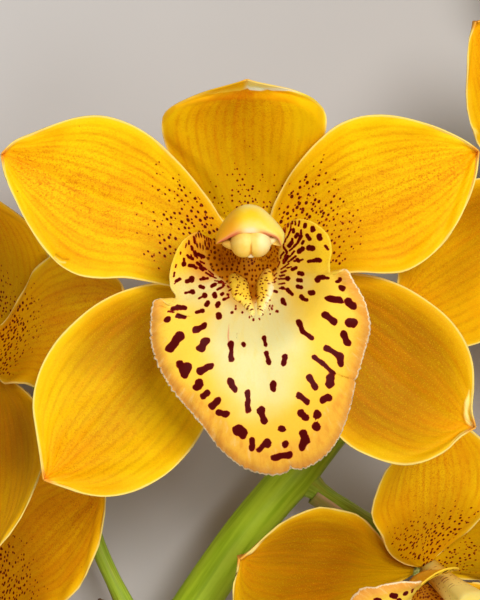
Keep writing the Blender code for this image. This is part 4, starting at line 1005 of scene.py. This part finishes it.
    # far blooms take the darker copies of the tepal shades: painted shade
    kind = ("" if main else "far_") + ("tepal_dots" if part in ("dorsal_sepal", "petal_left", "petal_right") else "tepal_plain")
    shell(f"{bloom}_{part}_skin", world, thick * size, attributes, SHADES[kind], f"{bloom}_{part}", axes[2],
          skip=4)


def capsules(q, marks, scale):
    """Signed distance, in sheet steps, from each point of q to the nearest mark: (x0, y0, x1, y1, r)."""
    best = np.full(q.shape[:-1], 1e3)
    for x0, y0, x1, y1, r in marks:
        a, b = np.array([x0, y0]), np.array([x1, y1])
        if scale:
            a, b, r = np.array([150, 180]) + a / scale, np.array([150, 180]) + b / scale, r / scale
        ab = b - a
        f = np.clip(((q - a) @ ab) / max(ab @ ab, 1e-9), 0, 1)
        # the ends are fuller than the waist, one a little more than the other
        long = min(1.0, float(np.linalg.norm(ab)) / (2.5 * r)) if scale else 0.0
        full = 1.0 + long * (0.11 * np.cos(2 * np.pi * f) + 0.10 * math.sin(x0 + y0) * (2 * f - 1))
        d = np.linalg.norm(q - a - f[..., None] * ab, axis=-1) - full * (r if scale else 1.1 * r + 0.12 + 0.42 * smooth(0.7, 1.3, r))
        # marks that touch run together
        join = 0.8 if scale else 0.25
        h = np.clip(0.5 + 0.5 * (best - d) / join, 0, 1)
        best = best + (d - best) * h - join * h * (1 - h)
    return best


def keel_height(q):
    """Height of the callus keels over the lip in millimetres, how far inside a keel each place is, its pale flank,
    which is a painted highlight, and a painted shadow line along its outline.
    """
    high = np.zeros(q.shape[:-1])
    line = np.zeros(q.shape[:-1])
    much = np.full(q.shape[:-1], -1e3)
    pale = np.zeros(q.shape[:-1])
    u, v = q[..., 0], q[..., 1]
    for k, rows in enumerate(KEELS):
        at_v, l, r, h = np.array(rows, float).T
        l, r, h = np.interp(v, at_v, l), np.interp(v, at_v, r), np.interp(v, at_v, h)
        x = (u - (l + r) / 2) / ((r - l) / 2)
        inside = smooth(at_v[0] - 0.6, at_v[0] + 1.0, v) * smooth(at_v[-1] + 0.6, at_v[-1] - 1.0, v)
        high = np.maximum(high, h * (1 - np.clip(np.abs(x), 0, 1) ** 3.2) ** 0.6 * inside)
        rows = np.array(rows, float)
        ring = np.concatenate([rows[:, [1, 0]], rows[::-1][:, [2, 0]], rows[:1, [1, 0]]])
        within = (np.abs(x) < 1) & (v > at_v[0]) & (v < at_v[-1])
        away = from_line(q, ring) * np.where(within, 1, -1)
        much = np.maximum(much, away)
        line = np.maximum(line, np.exp(-((away + 0.7) / 0.7) ** 2) * smooth(0.0, -0.5, x) * smooth(307, 296, v))
        pale = np.maximum(pale, k * smooth(0.25, 0.75, x) * smooth(280, 290, v) * smooth(1.3, 1.1, x) * inside)
    return high, much, pale, line


def lip(bloom, spec, axes, at, n, seed):
    main = bloom == FRONT
    rng = np.random.default_rng(seed)
    nt, nw = n
    t = np.linspace(0, 1, nt + 1)
    stations = np.array(LIP_STATIONS, float)
    # finer steps where the margin is long
    coarse = np.linspace(0, len(stations) - 1, 4000)
    m_all = station_curve(stations[:, 0], coarse)
    lobed = 1 - smooth(7.5, 10.5, coarse) * smooth(31.5, 29.0, coarse)
    run = np.concatenate([[0], np.cumsum((np.linalg.norm(np.diff(m_all, axis=0), axis=1) + 0.05) * (1 + 2.1 * lobed[1:]))])
    place = np.interp(np.linspace(0, run[-1], nt + 1), run, coarse)
    m = station_curve(stations[:, 0], place)
    c = station_curve(stations[:, 1], place)
    around = place / (len(stations) - 1)
    ang = np.radians(150 + 240 * around)
    i = np.stack([THROAT[0] - 1.5 + 4 * np.cos(ang), THROAT[1] - 6.5 - 3.5 * np.sin(ang)], axis=1)
    w = np.linspace(0, 1, nw + 1)
    w = 0.8 * w + 0.2 * w * w
    W = w[None, :, None]
    q = (1 - W) ** 2 * i[:, None] + 2 * W * (1 - W) * c[:, None] + W ** 2 * m[:, None]
    # distance from the margin
    step = np.linalg.norm(np.diff(q, axis=1), axis=2)
    left = np.concatenate([np.cumsum(step[:, ::-1], axis=1)[:, ::-1], np.zeros((nt + 1, 1))], axis=1) * SHEET
    mid_part = smooth(7.5, 10.5, place) * smooth(31.5, 29.0, place)       # 1 round the middle lobe
    lobe = np.repeat((1 - mid_part)[:, None], nw + 1, axis=1)
    # the frilled margin: small teeth all round the middle lobe, slow waves under them, and a notch at the bottom
    s_mm = np.concatenate([[0], np.cumsum(np.linalg.norm(np.diff(m, axis=0), axis=1))]) * SHEET
    teeth = waves(rng, 9, 3.0, 9.0)(s_mm) + 0.7 * waves(rng, 7, 9.0, 16.0)(s_mm)
    slow = waves(rng, 5, 0.35, 0.9)(s_mm)
    ruffle = waves(rng, 6, 0.8, 1.8)(s_mm)
    out = m - c
    out /= np.linalg.norm(out, axis=1, keepdims=True)
    near = smooth(1.3, 0.0, left)[..., None]
    notch = 5.6 * np.exp(-(np.hypot(m[:, 0] - 290, m[:, 1] - 468) / 2.2) ** 2) + 1.6 * np.exp(-(np.hypot(m[:, 0] - 356, m[:, 1] - 381) / 3.0) ** 2)
    q = q + near * (out * (teeth * 1.75 * (0.15 + 0.85 * mid_part) - notch)[:, None])[:, None]
    u, v = q[..., 0], q[..., 1]
    z = depth_lip(u, v)
    body = smooth(0.25, 0.6, w)[None, :]
    z = z + body * (0.75 * slow[:, None] * smooth(11.0, 1.0, left) + 0.55 * ruffle[:, None] * smooth(5.0, 0.3, left)) * mid_part[:, None]
    z = z - 0.7 * smooth(1.8, 0.0, left) * mid_part[:, None]
    z = z + 0.30 * teeth[:, None] * smooth(1.0, 0.0, left) * mid_part[:, None]
    # a shallow channel down the middle of the lobe, with low swellings beside it
    chan = (u - (258 + 0.02 * (v - 300))) * SHEET
    z = z - 0.55 * np.exp(-(chan / 3.2) ** 2) * smooth(318, 345, v) * smooth(470, 430, v)
    z = z + 0.35 * np.exp(-((np.abs(chan) - 7.0) / 3.2) ** 2) * smooth(310, 350, v) * smooth(455, 400, v)
    high, much, pale, outline = keel_height(q)
    # the corners beside the side lobes curl up
    for cu, cv, amount in ((349, 274, 2.4), (161, 303, 1.6)):
        d = np.hypot(u - cu, v - cv) * SHEET
        z = z + amount * np.exp(-(d / 2.6) ** 2) * smooth(4.0, 0.0, left)
    # a short tear in the right margin, and a crease by the left corner
    tear = np.abs((v - 377.5) - 0.30 * (u - 346)) * SHEET * smooth(370, 366, u) / np.maximum(smooth(329, 334, u), 1e-3)
    z = z - 0.5 * np.exp(-(tear / 0.45) ** 2) * smooth(331, 340, u)
    fold = np.abs((v - 309.5) - 0.42 * (u - 169)) * SHEET / np.maximum(smooth(158, 163, u) * smooth(190, 183, u), 1e-3)
    z = z - 0.5 * np.exp(-(fold / 0.4) ** 2)
    # a dark line of painted shade in the tear and the crease
    crease_shade = np.minimum(tear + 0.25 * smooth(336, 350, u), fold)
    p = to_space(u, v, z + high)
    flip = -1.0 if spec["mirror"] else 1.0
    size = spec["size"]
    world = at + (p * np.array([flip * size, size, size])) @ axes
    # the marks' outlines wander a little
    bend = [waves(rng, 4, 0.25, 0.65) for _ in range(4)]
    jog = np.stack([u + 0.7 * bend[0](u + 0.6 * v) + 0.7 * bend[1](v - 0.5 * u),
                    v + 0.7 * bend[2](v + 0.4 * u) + 0.7 * bend[3](u - 0.7 * v)], -1)
    if not main:
        wob = [waves(rng, 4, 0.05, 0.12) for _ in range(2)]
        jog = np.stack([u + 5.0 * wob[0](v) + 3.0 * wob[1](u), v + 5.0 * wob[1](v) + 3.0 * wob[0](u)], -1)
    calm = np.stack([u, v], -1) + 0.22 * (jog - np.stack([u, v], -1))
    spot = np.minimum(capsules(jog, BLOTCHES, CHART) - 0.32, capsules(calm, LOBE_MARKS, 0)) * SHEET
    spot = np.where(much > -0.2, 5.0, spot)
    spot = np.where(W[..., 0] + 0 * spot < 0.02, 5.0, spot)
    at_v, l, r = np.array(THROAT_SIDES, float).T
    l, r = np.interp(v, at_v, l), np.interp(v, at_v, r)
    deep = smooth(l - 2.0, l + 2.5, u) * smooth(r + 2.0, r - 2.5, u) * smooth(310, 299, v)
    # painted shadow on the cream beside the left keel's base
    keel_shadow = from_line(np.stack([u, v], -1), np.array([(231, 286), (233, 295), (238, 300), (247, 310)]))
    keel_shadow = smooth(19, 3, keel_shadow) * smooth(322, 304, v) * smooth(262, 250, u)
    # how far each place is from the cream heart of the middle lobe
    heart = np.hypot((u - 255 - 0.06 * (v - 346)) / 60.0, (v - 344) / 90.0)
    heart = np.minimum(heart, 0.42 + 0.5 * np.hypot((u - 206) / 42.0, (v - 290) / 32.0))
    heart = np.minimum(heart, 0.72 + 0.5 * np.hypot((u - 302) / 36.0, (v - 285) / 26.0))
    smear = from_line(np.stack([u, v], -1), np.array([(228.2, 326), (227.6, 338), (229, 350)])) * SHEET + 0.12 * smooth(336, 326, v)
    sun = lobe * smooth(9.0, 1.0, left) * smooth(286, 256, v)
    thin = smooth(1.15, 0.85, np.hypot((u - 201.4) / 8.6, (v - 240.6) / 9.6)) * smooth(193.0, 195.0, u)
    gold = from_line(np.stack([u, v], -1), np.array([(200, 236), (195, 248), (195, 260), (203, 272)])) * SHEET
    gold = smooth(4.0, 0.8, gold) * smooth(240, 225, u)
    thick = 0.34 + 0.76 * smooth(0.0, 3.0, left)
    # marks fan out of the throat: its direction and distance from there, and where the long ones are
    tu, tv = u - THROAT[0], v - THROAT[1]
    reach = np.hypot(tu, tv)
    turn = np.arctan2(tu, tv)
    sides = smooth(8, 20, np.abs(tu)) * smooth(300, 288, v + 0.10 * np.abs(tu))
    wing = sides * smooth(30, 36, reach) * smooth(56, 50, reach + 0.25 * np.clip(v - 270, 0, None))
    attributes = {
        "polar": np.stack([turn + (0 if main else rng.uniform(0, 9)), reach, wing], -1),
        "leaf": np.stack([np.repeat(around[:, None], nw + 1, 1), np.repeat(w[None], nt + 1, 0), lobe], -1),
        "flat": p * size + (0 if main else rng.uniform(-100, 100, 3)),
        "edge": left * size, "spot": spot * size, "keel": np.clip(much, -20, 20), "pale": pale, "thin": thin, "gold": gold, "outline": outline, "keel_shadow": keel_shadow, "deep": deep, "lobe": lobe, "heart": heart,
        "crease_shade": crease_shade, "sun": sun, "smear": smear, "band": 3.0 + 3.6 * smooth(370, 428, v) + 2.3 * smooth(300, 342, u) * smooth(375, 412, v),
    }
    shell(f"{bloom}_lip_skin", world, thick * size, attributes, SHADES["lip"], f"{bloom}_lip", axes[2],
          skip=5 if main else 3)


def column(bloom, spec, axes, at, n):
    """The column: a club that ends in a hood, whose skyline and rim are drawn on the sheet, and the anther cap."""
    flip = -1.0 if spec["mirror"] else 1.0
    scale = np.array([flip * spec["size"], spec["size"], spec["size"]])
    steps, half = n
    a = np.linspace(0, 1, half + 1)
    sky = crv(HOOD_SKY, a)
    rim = crv(HOOD_RIM, a)
    under = crv(HOOD_UNDER, a[1:-1])
    corner = np.abs(2 * a - 1) ** 3
    sky_z = 25.0 + 2.8 * corner
    rim_z = 31.0 - 2.0 * corner
    phi = a * np.pi
    foot_up = np.stack([3.1 * np.cos(phi), 0.6 + 3.0 * np.sin(phi), 0 * phi], -1)
    phi = np.pi + a[1:-1] * np.pi
    foot_down = np.stack([3.1 * np.cos(phi), 0.6 + 2.6 * np.sin(phi), 0 * phi], -1)
    sky_3 = to_space(sky[:, 0], sky[:, 1], sky_z)
    dip = np.sin(np.pi * a[1:-1]) ** 0.6
    grid, rims, domes = [], [], []

    def ring(up, z_corner, rim_much, dome_much, down=None):
        if down is None:
            zc = z_corner[-1] + (z_corner[0] - z_corner[-1]) * a[1:-1]
            down = to_space(under[:, 0], under[:, 1], zc + (25.6 - zc) * dip)
        grid.append(np.concatenate([up, down]))
        rims.append(np.concatenate([np.broadcast_to(rim_much, (half + 1,)), np.zeros(half - 1)]))
        domes.append(np.full(2 * half, dome_much))

    for k in range(steps):
        f = k / steps
        e = f ** 1.7
        down_end = to_space(under[:, 0], under[:, 1], 27.8 + (25.6 - 27.8) * dip)
        up = foot_up + (sky_3 - foot_up) * e
        down = foot_down + (down_end - foot_down) * e
        up[:, 2], down[:, 2] = sky_3[:, 2] * f, down_end[:, 2] * f
        ring(up, None, 0.0, 0.0, down)
    for k in range(steps + 1):
        f = k / steps
        w = 1 - math.cos(f * math.pi / 2)
        uv = sky + (rim - sky) * w
        z = sky_z + (rim_z - sky_z) * math.sin(f * math.pi / 2)
        # the middle of the hood swells a little over its rim
        z = z + 0.5 * math.sin(math.pi * f) * np.sin(np.pi * a)
        ring(to_space(uv[:, 0], uv[:, 1], z), z, smooth(0.74, 0.98, np.float64(w)), f)
    # the rim is a rounded bead, and the hood is hollow behind it
    for dv, dz, much in ((0.9, -0.25, 1.0), (1.1, -0.75, 1.0), (0.2, -1.3, 0.7), (-3.0, -2.6, 0.2), (-6.0, -4.0, 0.0)):
        z = rim_z + dz * (1 - corner)
        shift = dv * (1 - corner)
        ring(to_space(rim[:, 0], rim[:, 1] + shift, z), z, much, 1.0)
    middle = to_space(np.array(250.0), np.array(240.0), np.array(25.6))
    last = grid[-1]
    for f in (0.35, 0.7, 0.985):
        grid.append(last + (middle - last) * f)
        rims.append(np.zeros(2 * half))
        domes.append(np.ones(2 * half))
    grid = np.array(grid)
    verts = grid.reshape(-1, 3)
    index = np.arange(len(verts)).reshape(grid.shape[:2])
    w = np.concatenate([index, index[:, :1]], axis=1)
    faces = np.stack([w[:-1, :-1], w[:-1, 1:], w[1:, 1:], w[1:, :-1]], axis=-1).reshape(-1, 4)
    faces = [faces, index[0][::-1][None], index[-1][None]]
    if flip < 0:
        faces = [f[:, ::-1] for f in faces]
    finish_mesh(f"{bloom}_column_skin", at + (verts * scale) @ axes, faces,
                {"flat": verts, "rim": np.array(rims).ravel(), "dome": np.array(domes).ravel()},
                SHADES["column"], f"{bloom}_column")

    # anther cap: two plump lobes side by side, a wing at each end and a small beak below
    nu, nv = (96, 128) if bloom == FRONT else (28, 40)
    U, V = np.meshgrid(np.linspace(0.015, math.pi - 0.015, nu + 1), np.linspace(0, 2 * np.pi, nv, endpoint=False), indexing="ij")
    d = np.stack([np.cos(U), np.sin(U) * np.cos(V), np.sin(U) * np.sin(V)], -1)

    def reach(centre, radii, lean=0.0):
        turn = np.array([[math.cos(lean), -math.sin(lean), 0], [math.sin(lean), math.cos(lean), 0], [0, 0, 1]])
        c, q = (np.array(centre) @ turn) / radii, (d @ turn) / np.array(radii)
        A, B, C = (q * q).sum(-1), (q * c).sum(-1), (c * c).sum()
        disc = B * B - A * (C - 1)
        return np.where(disc > 0, (B + np.sqrt(np.maximum(disc, 0))) / A, 0.0)

    left, right = reach((-1.50, 0.50, 0.4), (2.95, 3.15, 2.5)), reach((1.55, 0.65, 0.4), (2.90, 3.20, 2.6))
    wings = np.maximum(reach((-3.6, -0.05, -0.2), (2.75, 1.0, 1.2), -0.22), reach((3.3, 0.55, -0.2), (2.75, 0.95, 1.2), 0.42))
    beak = reach((0.05, -2.45, -0.3), (0.75, 0.22, 0.7))
    k = 0.09
    r = k * np.log(np.exp(left / k) + np.exp(right / k) + np.exp(wings / k) + np.exp(beak / k))
    # the cleft between the lobes deepens downwards
    over_x, over_y = d[..., 0] * r, d[..., 1] * r
    groove = np.exp(-((over_x - 0.08) / 0.20) ** 2) * smooth(1.5, -0.8, over_y) * smooth(-0.1, 0.3, d[..., 2])
    groove = np.maximum(groove, np.exp(-((over_x - 0.08) / 0.45) ** 2) * smooth(-1.2, -2.0, over_y) * smooth(-0.1, 0.2, d[..., 2]))
    r = r * (1 - 0.16 * groove * (r < 3.4))
    centre = to_space(np.array(250.6), np.array(245.4), np.array(28.4))
    cap = (centre + d * r[..., None]).reshape(-1, 3)
    index = np.arange(len(cap)).reshape(nu + 1, nv)
    w = np.concatenate([index, index[:, :1]], axis=1)
    faces = np.stack([w[:-1, :-1], w[1:, :-1], w[1:, 1:], w[:-1, 1:]], axis=-1).reshape(-1, 4)
    faces = [faces, index[0][None], index[-1][::-1][None]]
    if flip < 0:
        faces = [f[:, ::-1] for f in faces]
    finish_mesh(f"{bloom}_anther_cap_skin", at + (cap * scale) @ axes, faces, {"flat": cap - centre, "groove": groove.ravel(),
                 "beak": (smooth(-0.05, 0.05, beak - np.maximum(left, right)) * smooth(-2.3, -2.45, over_y)).ravel()},
                SHADES["cap"], "front_bloom_anther_cap" if bloom == FRONT else None)


# ---------------------------------------------------------------- scape, stalks, bracts, buds
def scape_radius(f):
    return np.interp(f, [a for a, _ in SCAPE_RADII], [r for _, r in SCAPE_RADII])


SCAPE_FINE = crv(SCAPE_LINE, 400)


def scape_at(x):
    i = int(np.argmin(abs(SCAPE_FINE[:, 0] - x)))
    return SCAPE_FINE[i], float(scape_radius(i / 399))


def stalk_line(spec, axes, at):
    middle, radius = scape_at(spec["node"])
    middle = middle - ORIGIN
    away = unit(spec["leaves"])
    side = unit([0, away[1], away[2]])
    start = middle + side * (radius + 0.7)
    back = at - axes[2] * 0.45
    reach = np.linalg.norm(back - start)
    first = start + side * 0.12 * reach + away * 0.22 * reach
    line = bezier(start, first, back - axes[2] * 0.42 * reach, back - axes[2] * 2.4, 9)
    line[1] = start + side * 2.5
    line = np.vstack([line, back - axes[2] * 0.9, back])
    return line, side, radius


def stalks(bloom, spec, axes, at, rng):
    line, side, radius = stalk_line(spec, axes, at)
    size = spec["size"]
    fine = crv(np.vstack([line[0] - side * 2.4, line, line[-1] + axes[2] * 0.5]), 90)
    f = np.linspace(0, 1, 90)
    r = np.interp(f, [0, 0.05, 0.10, 0.2, 0.42, 0.72, 0.88, 0.965, 1], [4.2, 3.4, 2.7, 2.15, 2.1, 3.1, 3.35, 4.1, 4.4]) * size
    ribs = float(rng.uniform(0, 6))

    def shape(F, A):
        ovary = smooth(0.42, 0.62, F) * smooth(1.0, 0.93, F)
        return 1 + 0.055 * ovary * np.cos(6 * A + ribs + 2.5 * F) + 0.012 * np.cos(3 * A + 5 * F)

    tube(f"{bloom}_stalk_skin", fine, r, SHADES["stalk"], f"{bloom}_stalk", shape=shape, n_round=36,
         flat_end=True)
    bract(f"{bloom}_bract", line, 2.6 * size, spec.get("bract", 13.0), rng)


def bract(name, line, widths, length, rng):
    along = np.array([1.0, 0.0, 0.0])
    fine = crv(line, 200)
    travel = np.concatenate([[0], np.cumsum(np.linalg.norm(np.diff(fine, axis=0), axis=1))])
    nu, nv = 40, 24
    grid = np.zeros((nu + 1, nv + 1, 3))
    curl = waves(rng, 3, 2, 6)
    T, S = np.meshgrid(np.linspace(0, 0.999, nu + 1), np.linspace(-1, 1, nv + 1), indexing="ij")
    edge = np.zeros_like(T)
    for i in range(nu + 1):
        t = T[i, 0]
        place = np.interp(1.2 + length * t, travel, np.arange(len(fine)))
        k = min(int(place), len(fine) - 2)
        here = fine[k] + (fine[k + 1] - fine[k]) * (place - k)
        heading = unit(fine[k + 1] - fine[k])
        out = unit(-along + heading * float(along @ heading))
        across = np.cross(heading, out)
        r = widths + 1.15 + 1.5 * t * t
        half = math.radians(88) * math.sqrt(max(1e-4, 1 - t ** 1.8))
        for j in range(nv + 1):
            s = S[i, j]
            a = half * s
            rr = r + 0.35 * s * s * curl(3 * t + s) * t + 0.5 * t * t * abs(s)
            point = here + out * (rr * math.cos(a)) + across * (rr * math.sin(a))
            middle, radius = scape_at(point[0] + ORIGIN[0])
            off = (point - (middle - ORIGIN)) * np.array([0.0, 1.0, 1.0])
            short = radius + 0.9 - np.linalg.norm(off)
            grid[i, j] = point + unit(off) * max(0.0, short)
            edge[i, j] = half * r * (1 - abs(s))
    attributes = {"leaf": np.stack([T, S, np.full_like(T, rng.uniform(0, 9))], -1), "flat": grid, "edge": np.minimum(edge, (1 - T) * length)}
    outward = grid[5, nv // 2] - fine[20]
    shell(f"{name}_skin", grid, 0.30 + 0.35 * smooth(0, 2, edge), attributes, SHADES["bract"], name, unit(outward))


def sheath(rng):
    nu, nv = 80, 64
    T, S = np.meshgrid(np.linspace(0, 1, nu + 1), np.linspace(-1, 1, nv + 1), indexing="ij")
    grid = np.zeros((nu + 1, nv + 1, 3))
    edge = np.zeros_like(T)
    curl = waves(rng, 4, 3, 9)
    for i in range(nu + 1):
        t = T[i, 0]
        middle, radius = scape_at(-330 + 62 * t)
        middle = np.array([np.interp(-330 + 62 * t, SCAPE_FINE[:, 0], SCAPE_FINE[:, k]) for k in range(3)]) - ORIGIN
        span = math.radians(150) * (1 - 0.75 * smooth(0.35, 1.0, np.float64(t)))
        for j in range(nv + 1):
            s = S[i, j]
            a = s * span + math.radians(100)
            r = radius + 0.75 + 1.6 * t ** 3 + 0.25 * curl(4 * t + 2 * s) * t + 0.35 * smooth(0.7, 1.0, abs(s)) * t
            lag = 3.0 * (abs(s) ** 2) * smooth(0.8, 1.0, t)
            grid[i, j] = middle + np.array([-lag, r * math.cos(a), r * math.sin(a)])
            edge[i, j] = min(radius * span * (1 - abs(s)), (1 - t) * 62 + 0.1, t * 62 + 0.6)
    attributes = {"leaf": np.stack([T, S, np.full_like(T, 3.3)], -1), "flat": grid, "edge": edge}
    middle, _ = scape_at(-300)
    shell("sheath_skin", grid, 0.32 + 0.3 * smooth(0, 2, edge), attributes, SHADES["bract"], "sheath",
          np.array([0.0, -0.17, 1.0]))


def scape():
    n = 340
    line = crv(SCAPE_LINE, n) - ORIGIN
    f = np.linspace(0, 1, n)
    radius = scape_radius(f)
    x = line[:, 0] + ORIGIN[0]
    nodes = [spec["node"] for spec in BLOOMS.values()] + [spec["node"] for spec in BUDS.values()] + [-330]
    for k in nodes:
        radius = radius + 0.35 * np.exp(-((x - k) / 4.5) ** 2) * smooth(-60, -20, np.float64(k)) + 0.22 * np.exp(-((x - k) / 3.0) ** 2)

    def shape(F, A):
        return 1 + 0.012 * np.cos(5 * A + 3 * F) + 0.008 * np.cos(11 * A - 9 * F)

    tube("scape_skin", line, radius, SHADES["scape"], "scape", shape=shape, n_round=56, flat_start=True)


def bud(name, spec, rng):
    middle, radius = scape_at(spec["node"])
    middle = middle - ORIGIN
    away, heading = unit(spec["leaves"]), unit(spec["heading"])
    side = unit([0, away[1], away[2]])
    start = middle + side * (radius + 0.7)
    length = spec["stem"] + spec["body"]
    end = start + side * 0.30 * spec["stem"] + heading * (length - 0.25 * spec["stem"])
    line = bezier(start, start + side * 0.35 * spec["stem"] + away * 0.2 * spec["stem"], end - heading * 0.55 * length, end, 15)
    line[1] = start + side * 1.8
    share = spec["stem"] / length
    n = 100
    fine = crv(np.vstack([line[0] - side * 2.2, line]), n)
    f = np.linspace(0, 1, n)
    radii = []
    for x in f:
        if x < share:
            radii.append(1.8 + 0.5 * (x / share) ** 2 + 1.2 * math.exp(-(x / 0.035) ** 2))
        else:
            g = (x - share) / (1 - share)
            swell = (2.3 + (spec["wide"] - 2.3) * math.sin(math.pi * min(g, 1) ** 0.78) ** 0.72 if g < 0.6
                     else spec["wide"] * max(0.10, math.sqrt(max(0.0, 1 - ((g - 0.45) / 0.56) ** 2))))
            radii.append(swell)
    radii = np.convolve(np.pad(radii, 4, mode="edge"), np.ones(9) / 9, "valid")
    turn = float(rng.uniform(0, 6))

    def seams(F, A):
        g = np.clip((F - share) / (1 - share), 0, 1)
        body = smooth(0.08, 0.35, g)
        x = np.abs(((A + turn + 0.5 * g) / (2 * np.pi) * 3) % 1 - 0.5)
        return body, x

    def shape(F, A):
        body, x = seams(F, A)
        return 1 + 0.05 * body * np.cos(3 * (A + turn)) - 0.05 * body * np.exp(-(x / 0.035) ** 2)

    def more(F, A):
        body, x = seams(F, A)
        return {"share": F, "seam": body * np.exp(-(x / 0.05) ** 2)}

    tube(f"{name}_skin", fine, radii, SHADES["bud"], name, shape=shape, n_round=60, extra=more)


# ---------------------------------------------------------------- build
PARTS = {
    "dorsal_sepal": (DORSAL, depth_dorsal, 90),
    "petal_left": (PETAL_LEFT, depth_petal, 162),
    "petal_right": (PETAL_RIGHT, depth_petal, 18),
    "lateral_sepal_left": (SEPAL_LEFT, depth_lateral, 228),
    "lateral_sepal_right": (SEPAL_RIGHT, depth_lateral, 323),
}


def build():
    for number, (name, spec) in enumerate(BLOOMS.items()):
        main = name == FRONT
        axes = bloom_axes(spec)
        at = np.array(spec["at"], float) - ORIGIN
        rng = np.random.default_rng(50 + number)
        for k, (part, (outline, depth, angle)) in enumerate(PARTS.items()):
            tepal(name, part, outline, depth, spec, axes, at, angle, (160, 100) if main else (60, 36), 100 * number + k + 7)
        lip(name, spec, axes, at, (880, 100) if main else (330, 48), 1000 + number)
        column(name, spec, axes, at, (40, 60) if main else (14, 20))
        stalks(name, spec, axes, at, rng)
    rng = np.random.default_rng(5)
    scape()
    sheath(rng)
    for name, spec in BUDS.items():
        bud(name, spec, rng)


def stage_and_light():
    scene = bpy.context.scene
    # floor
    mesh = bpy.data.meshes.new("floor")
    mesh.from_pydata([(-6, -6, 0), (6, -6, 0), (6, 6, 0), (-6, 6, 0)], [], [(0, 1, 2, 3)])
    floor = bpy.data.objects.new("floor", mesh)
    floor.location.z = -0.0004
    scene.collection.objects.link(floor)
    s = Shade("floor", roughness=0.75, specular=0.2)
    c = s.mix(s.noise(s.place(), 9.0, 4.0), rgb(199, 195, 192), rgb(191, 187, 184))
    s.colour(c)
    mesh.materials.append(s.mat)
    # camera
    axes = bloom_axes(BLOOMS[FRONT])
    at = np.array(BLOOMS[FRONT]["at"], float) - ORIGIN
    eye = at + np.array([(AXIS[0] - CENTRE[0]) * SHEET, (CENTRE[1] - AXIS[1]) * SHEET, EYE]) @ axes
    data = bpy.data.cameras.new("camera")
    camera = bpy.data.objects.new("camera", data)
    scene.collection.objects.link(camera)
    turn = Matrix([tuple(r) for r in axes]).transposed()
    camera.matrix_world = Matrix.Translation(Vector(eye) * MM) @ turn.to_4x4()
    data.sensor_fit = "HORIZONTAL"
    data.sensor_width = 36.0
    data.lens = 36.0 * EYE / (480 * SHEET)
    data.clip_start, data.clip_end = 0.01, 50.0
    scene.camera = camera
    # light: a big soft window above the bloom's top, a weaker one from the right, and an even sky
    target = Vector(at) * MM

    def window(name, direction, distance, size, power, colour):
        lamp = bpy.data.lights.new(name, "AREA")
        lamp.shape = "RECTANGLE"
        lamp.size, lamp.size_y = size
        lamp.energy = power
        lamp.color = colour
        o = bpy.data.objects.new(name, lamp)
        d = Vector(tuple(np.array(direction, float) @ axes)).normalized()
        o.location = target + d * distance
        o.rotation_euler = (-d).to_track_quat("-Z", "Y").to_euler()
        scene.collection.objects.link(o)

    window("window", (0.29, 0.28, 1.0), 1.1, (0.45, 0.45), 10.2, (1.0, 0.99, 0.97))
    window("fill", (-0.35, -0.75, 0.65), 1.2, (0.7, 0.7), 3.2, (1.0, 0.99, 0.97))
    world = bpy.data.worlds.new("world")
    scene.world = world
    world.use_nodes = True
    bg = world.node_tree.nodes["Background"]
    bg.inputs[0].default_value = rgb(222, 220, 216)
    bg.inputs[1].default_value = 0.48


build()
stage_and_light()
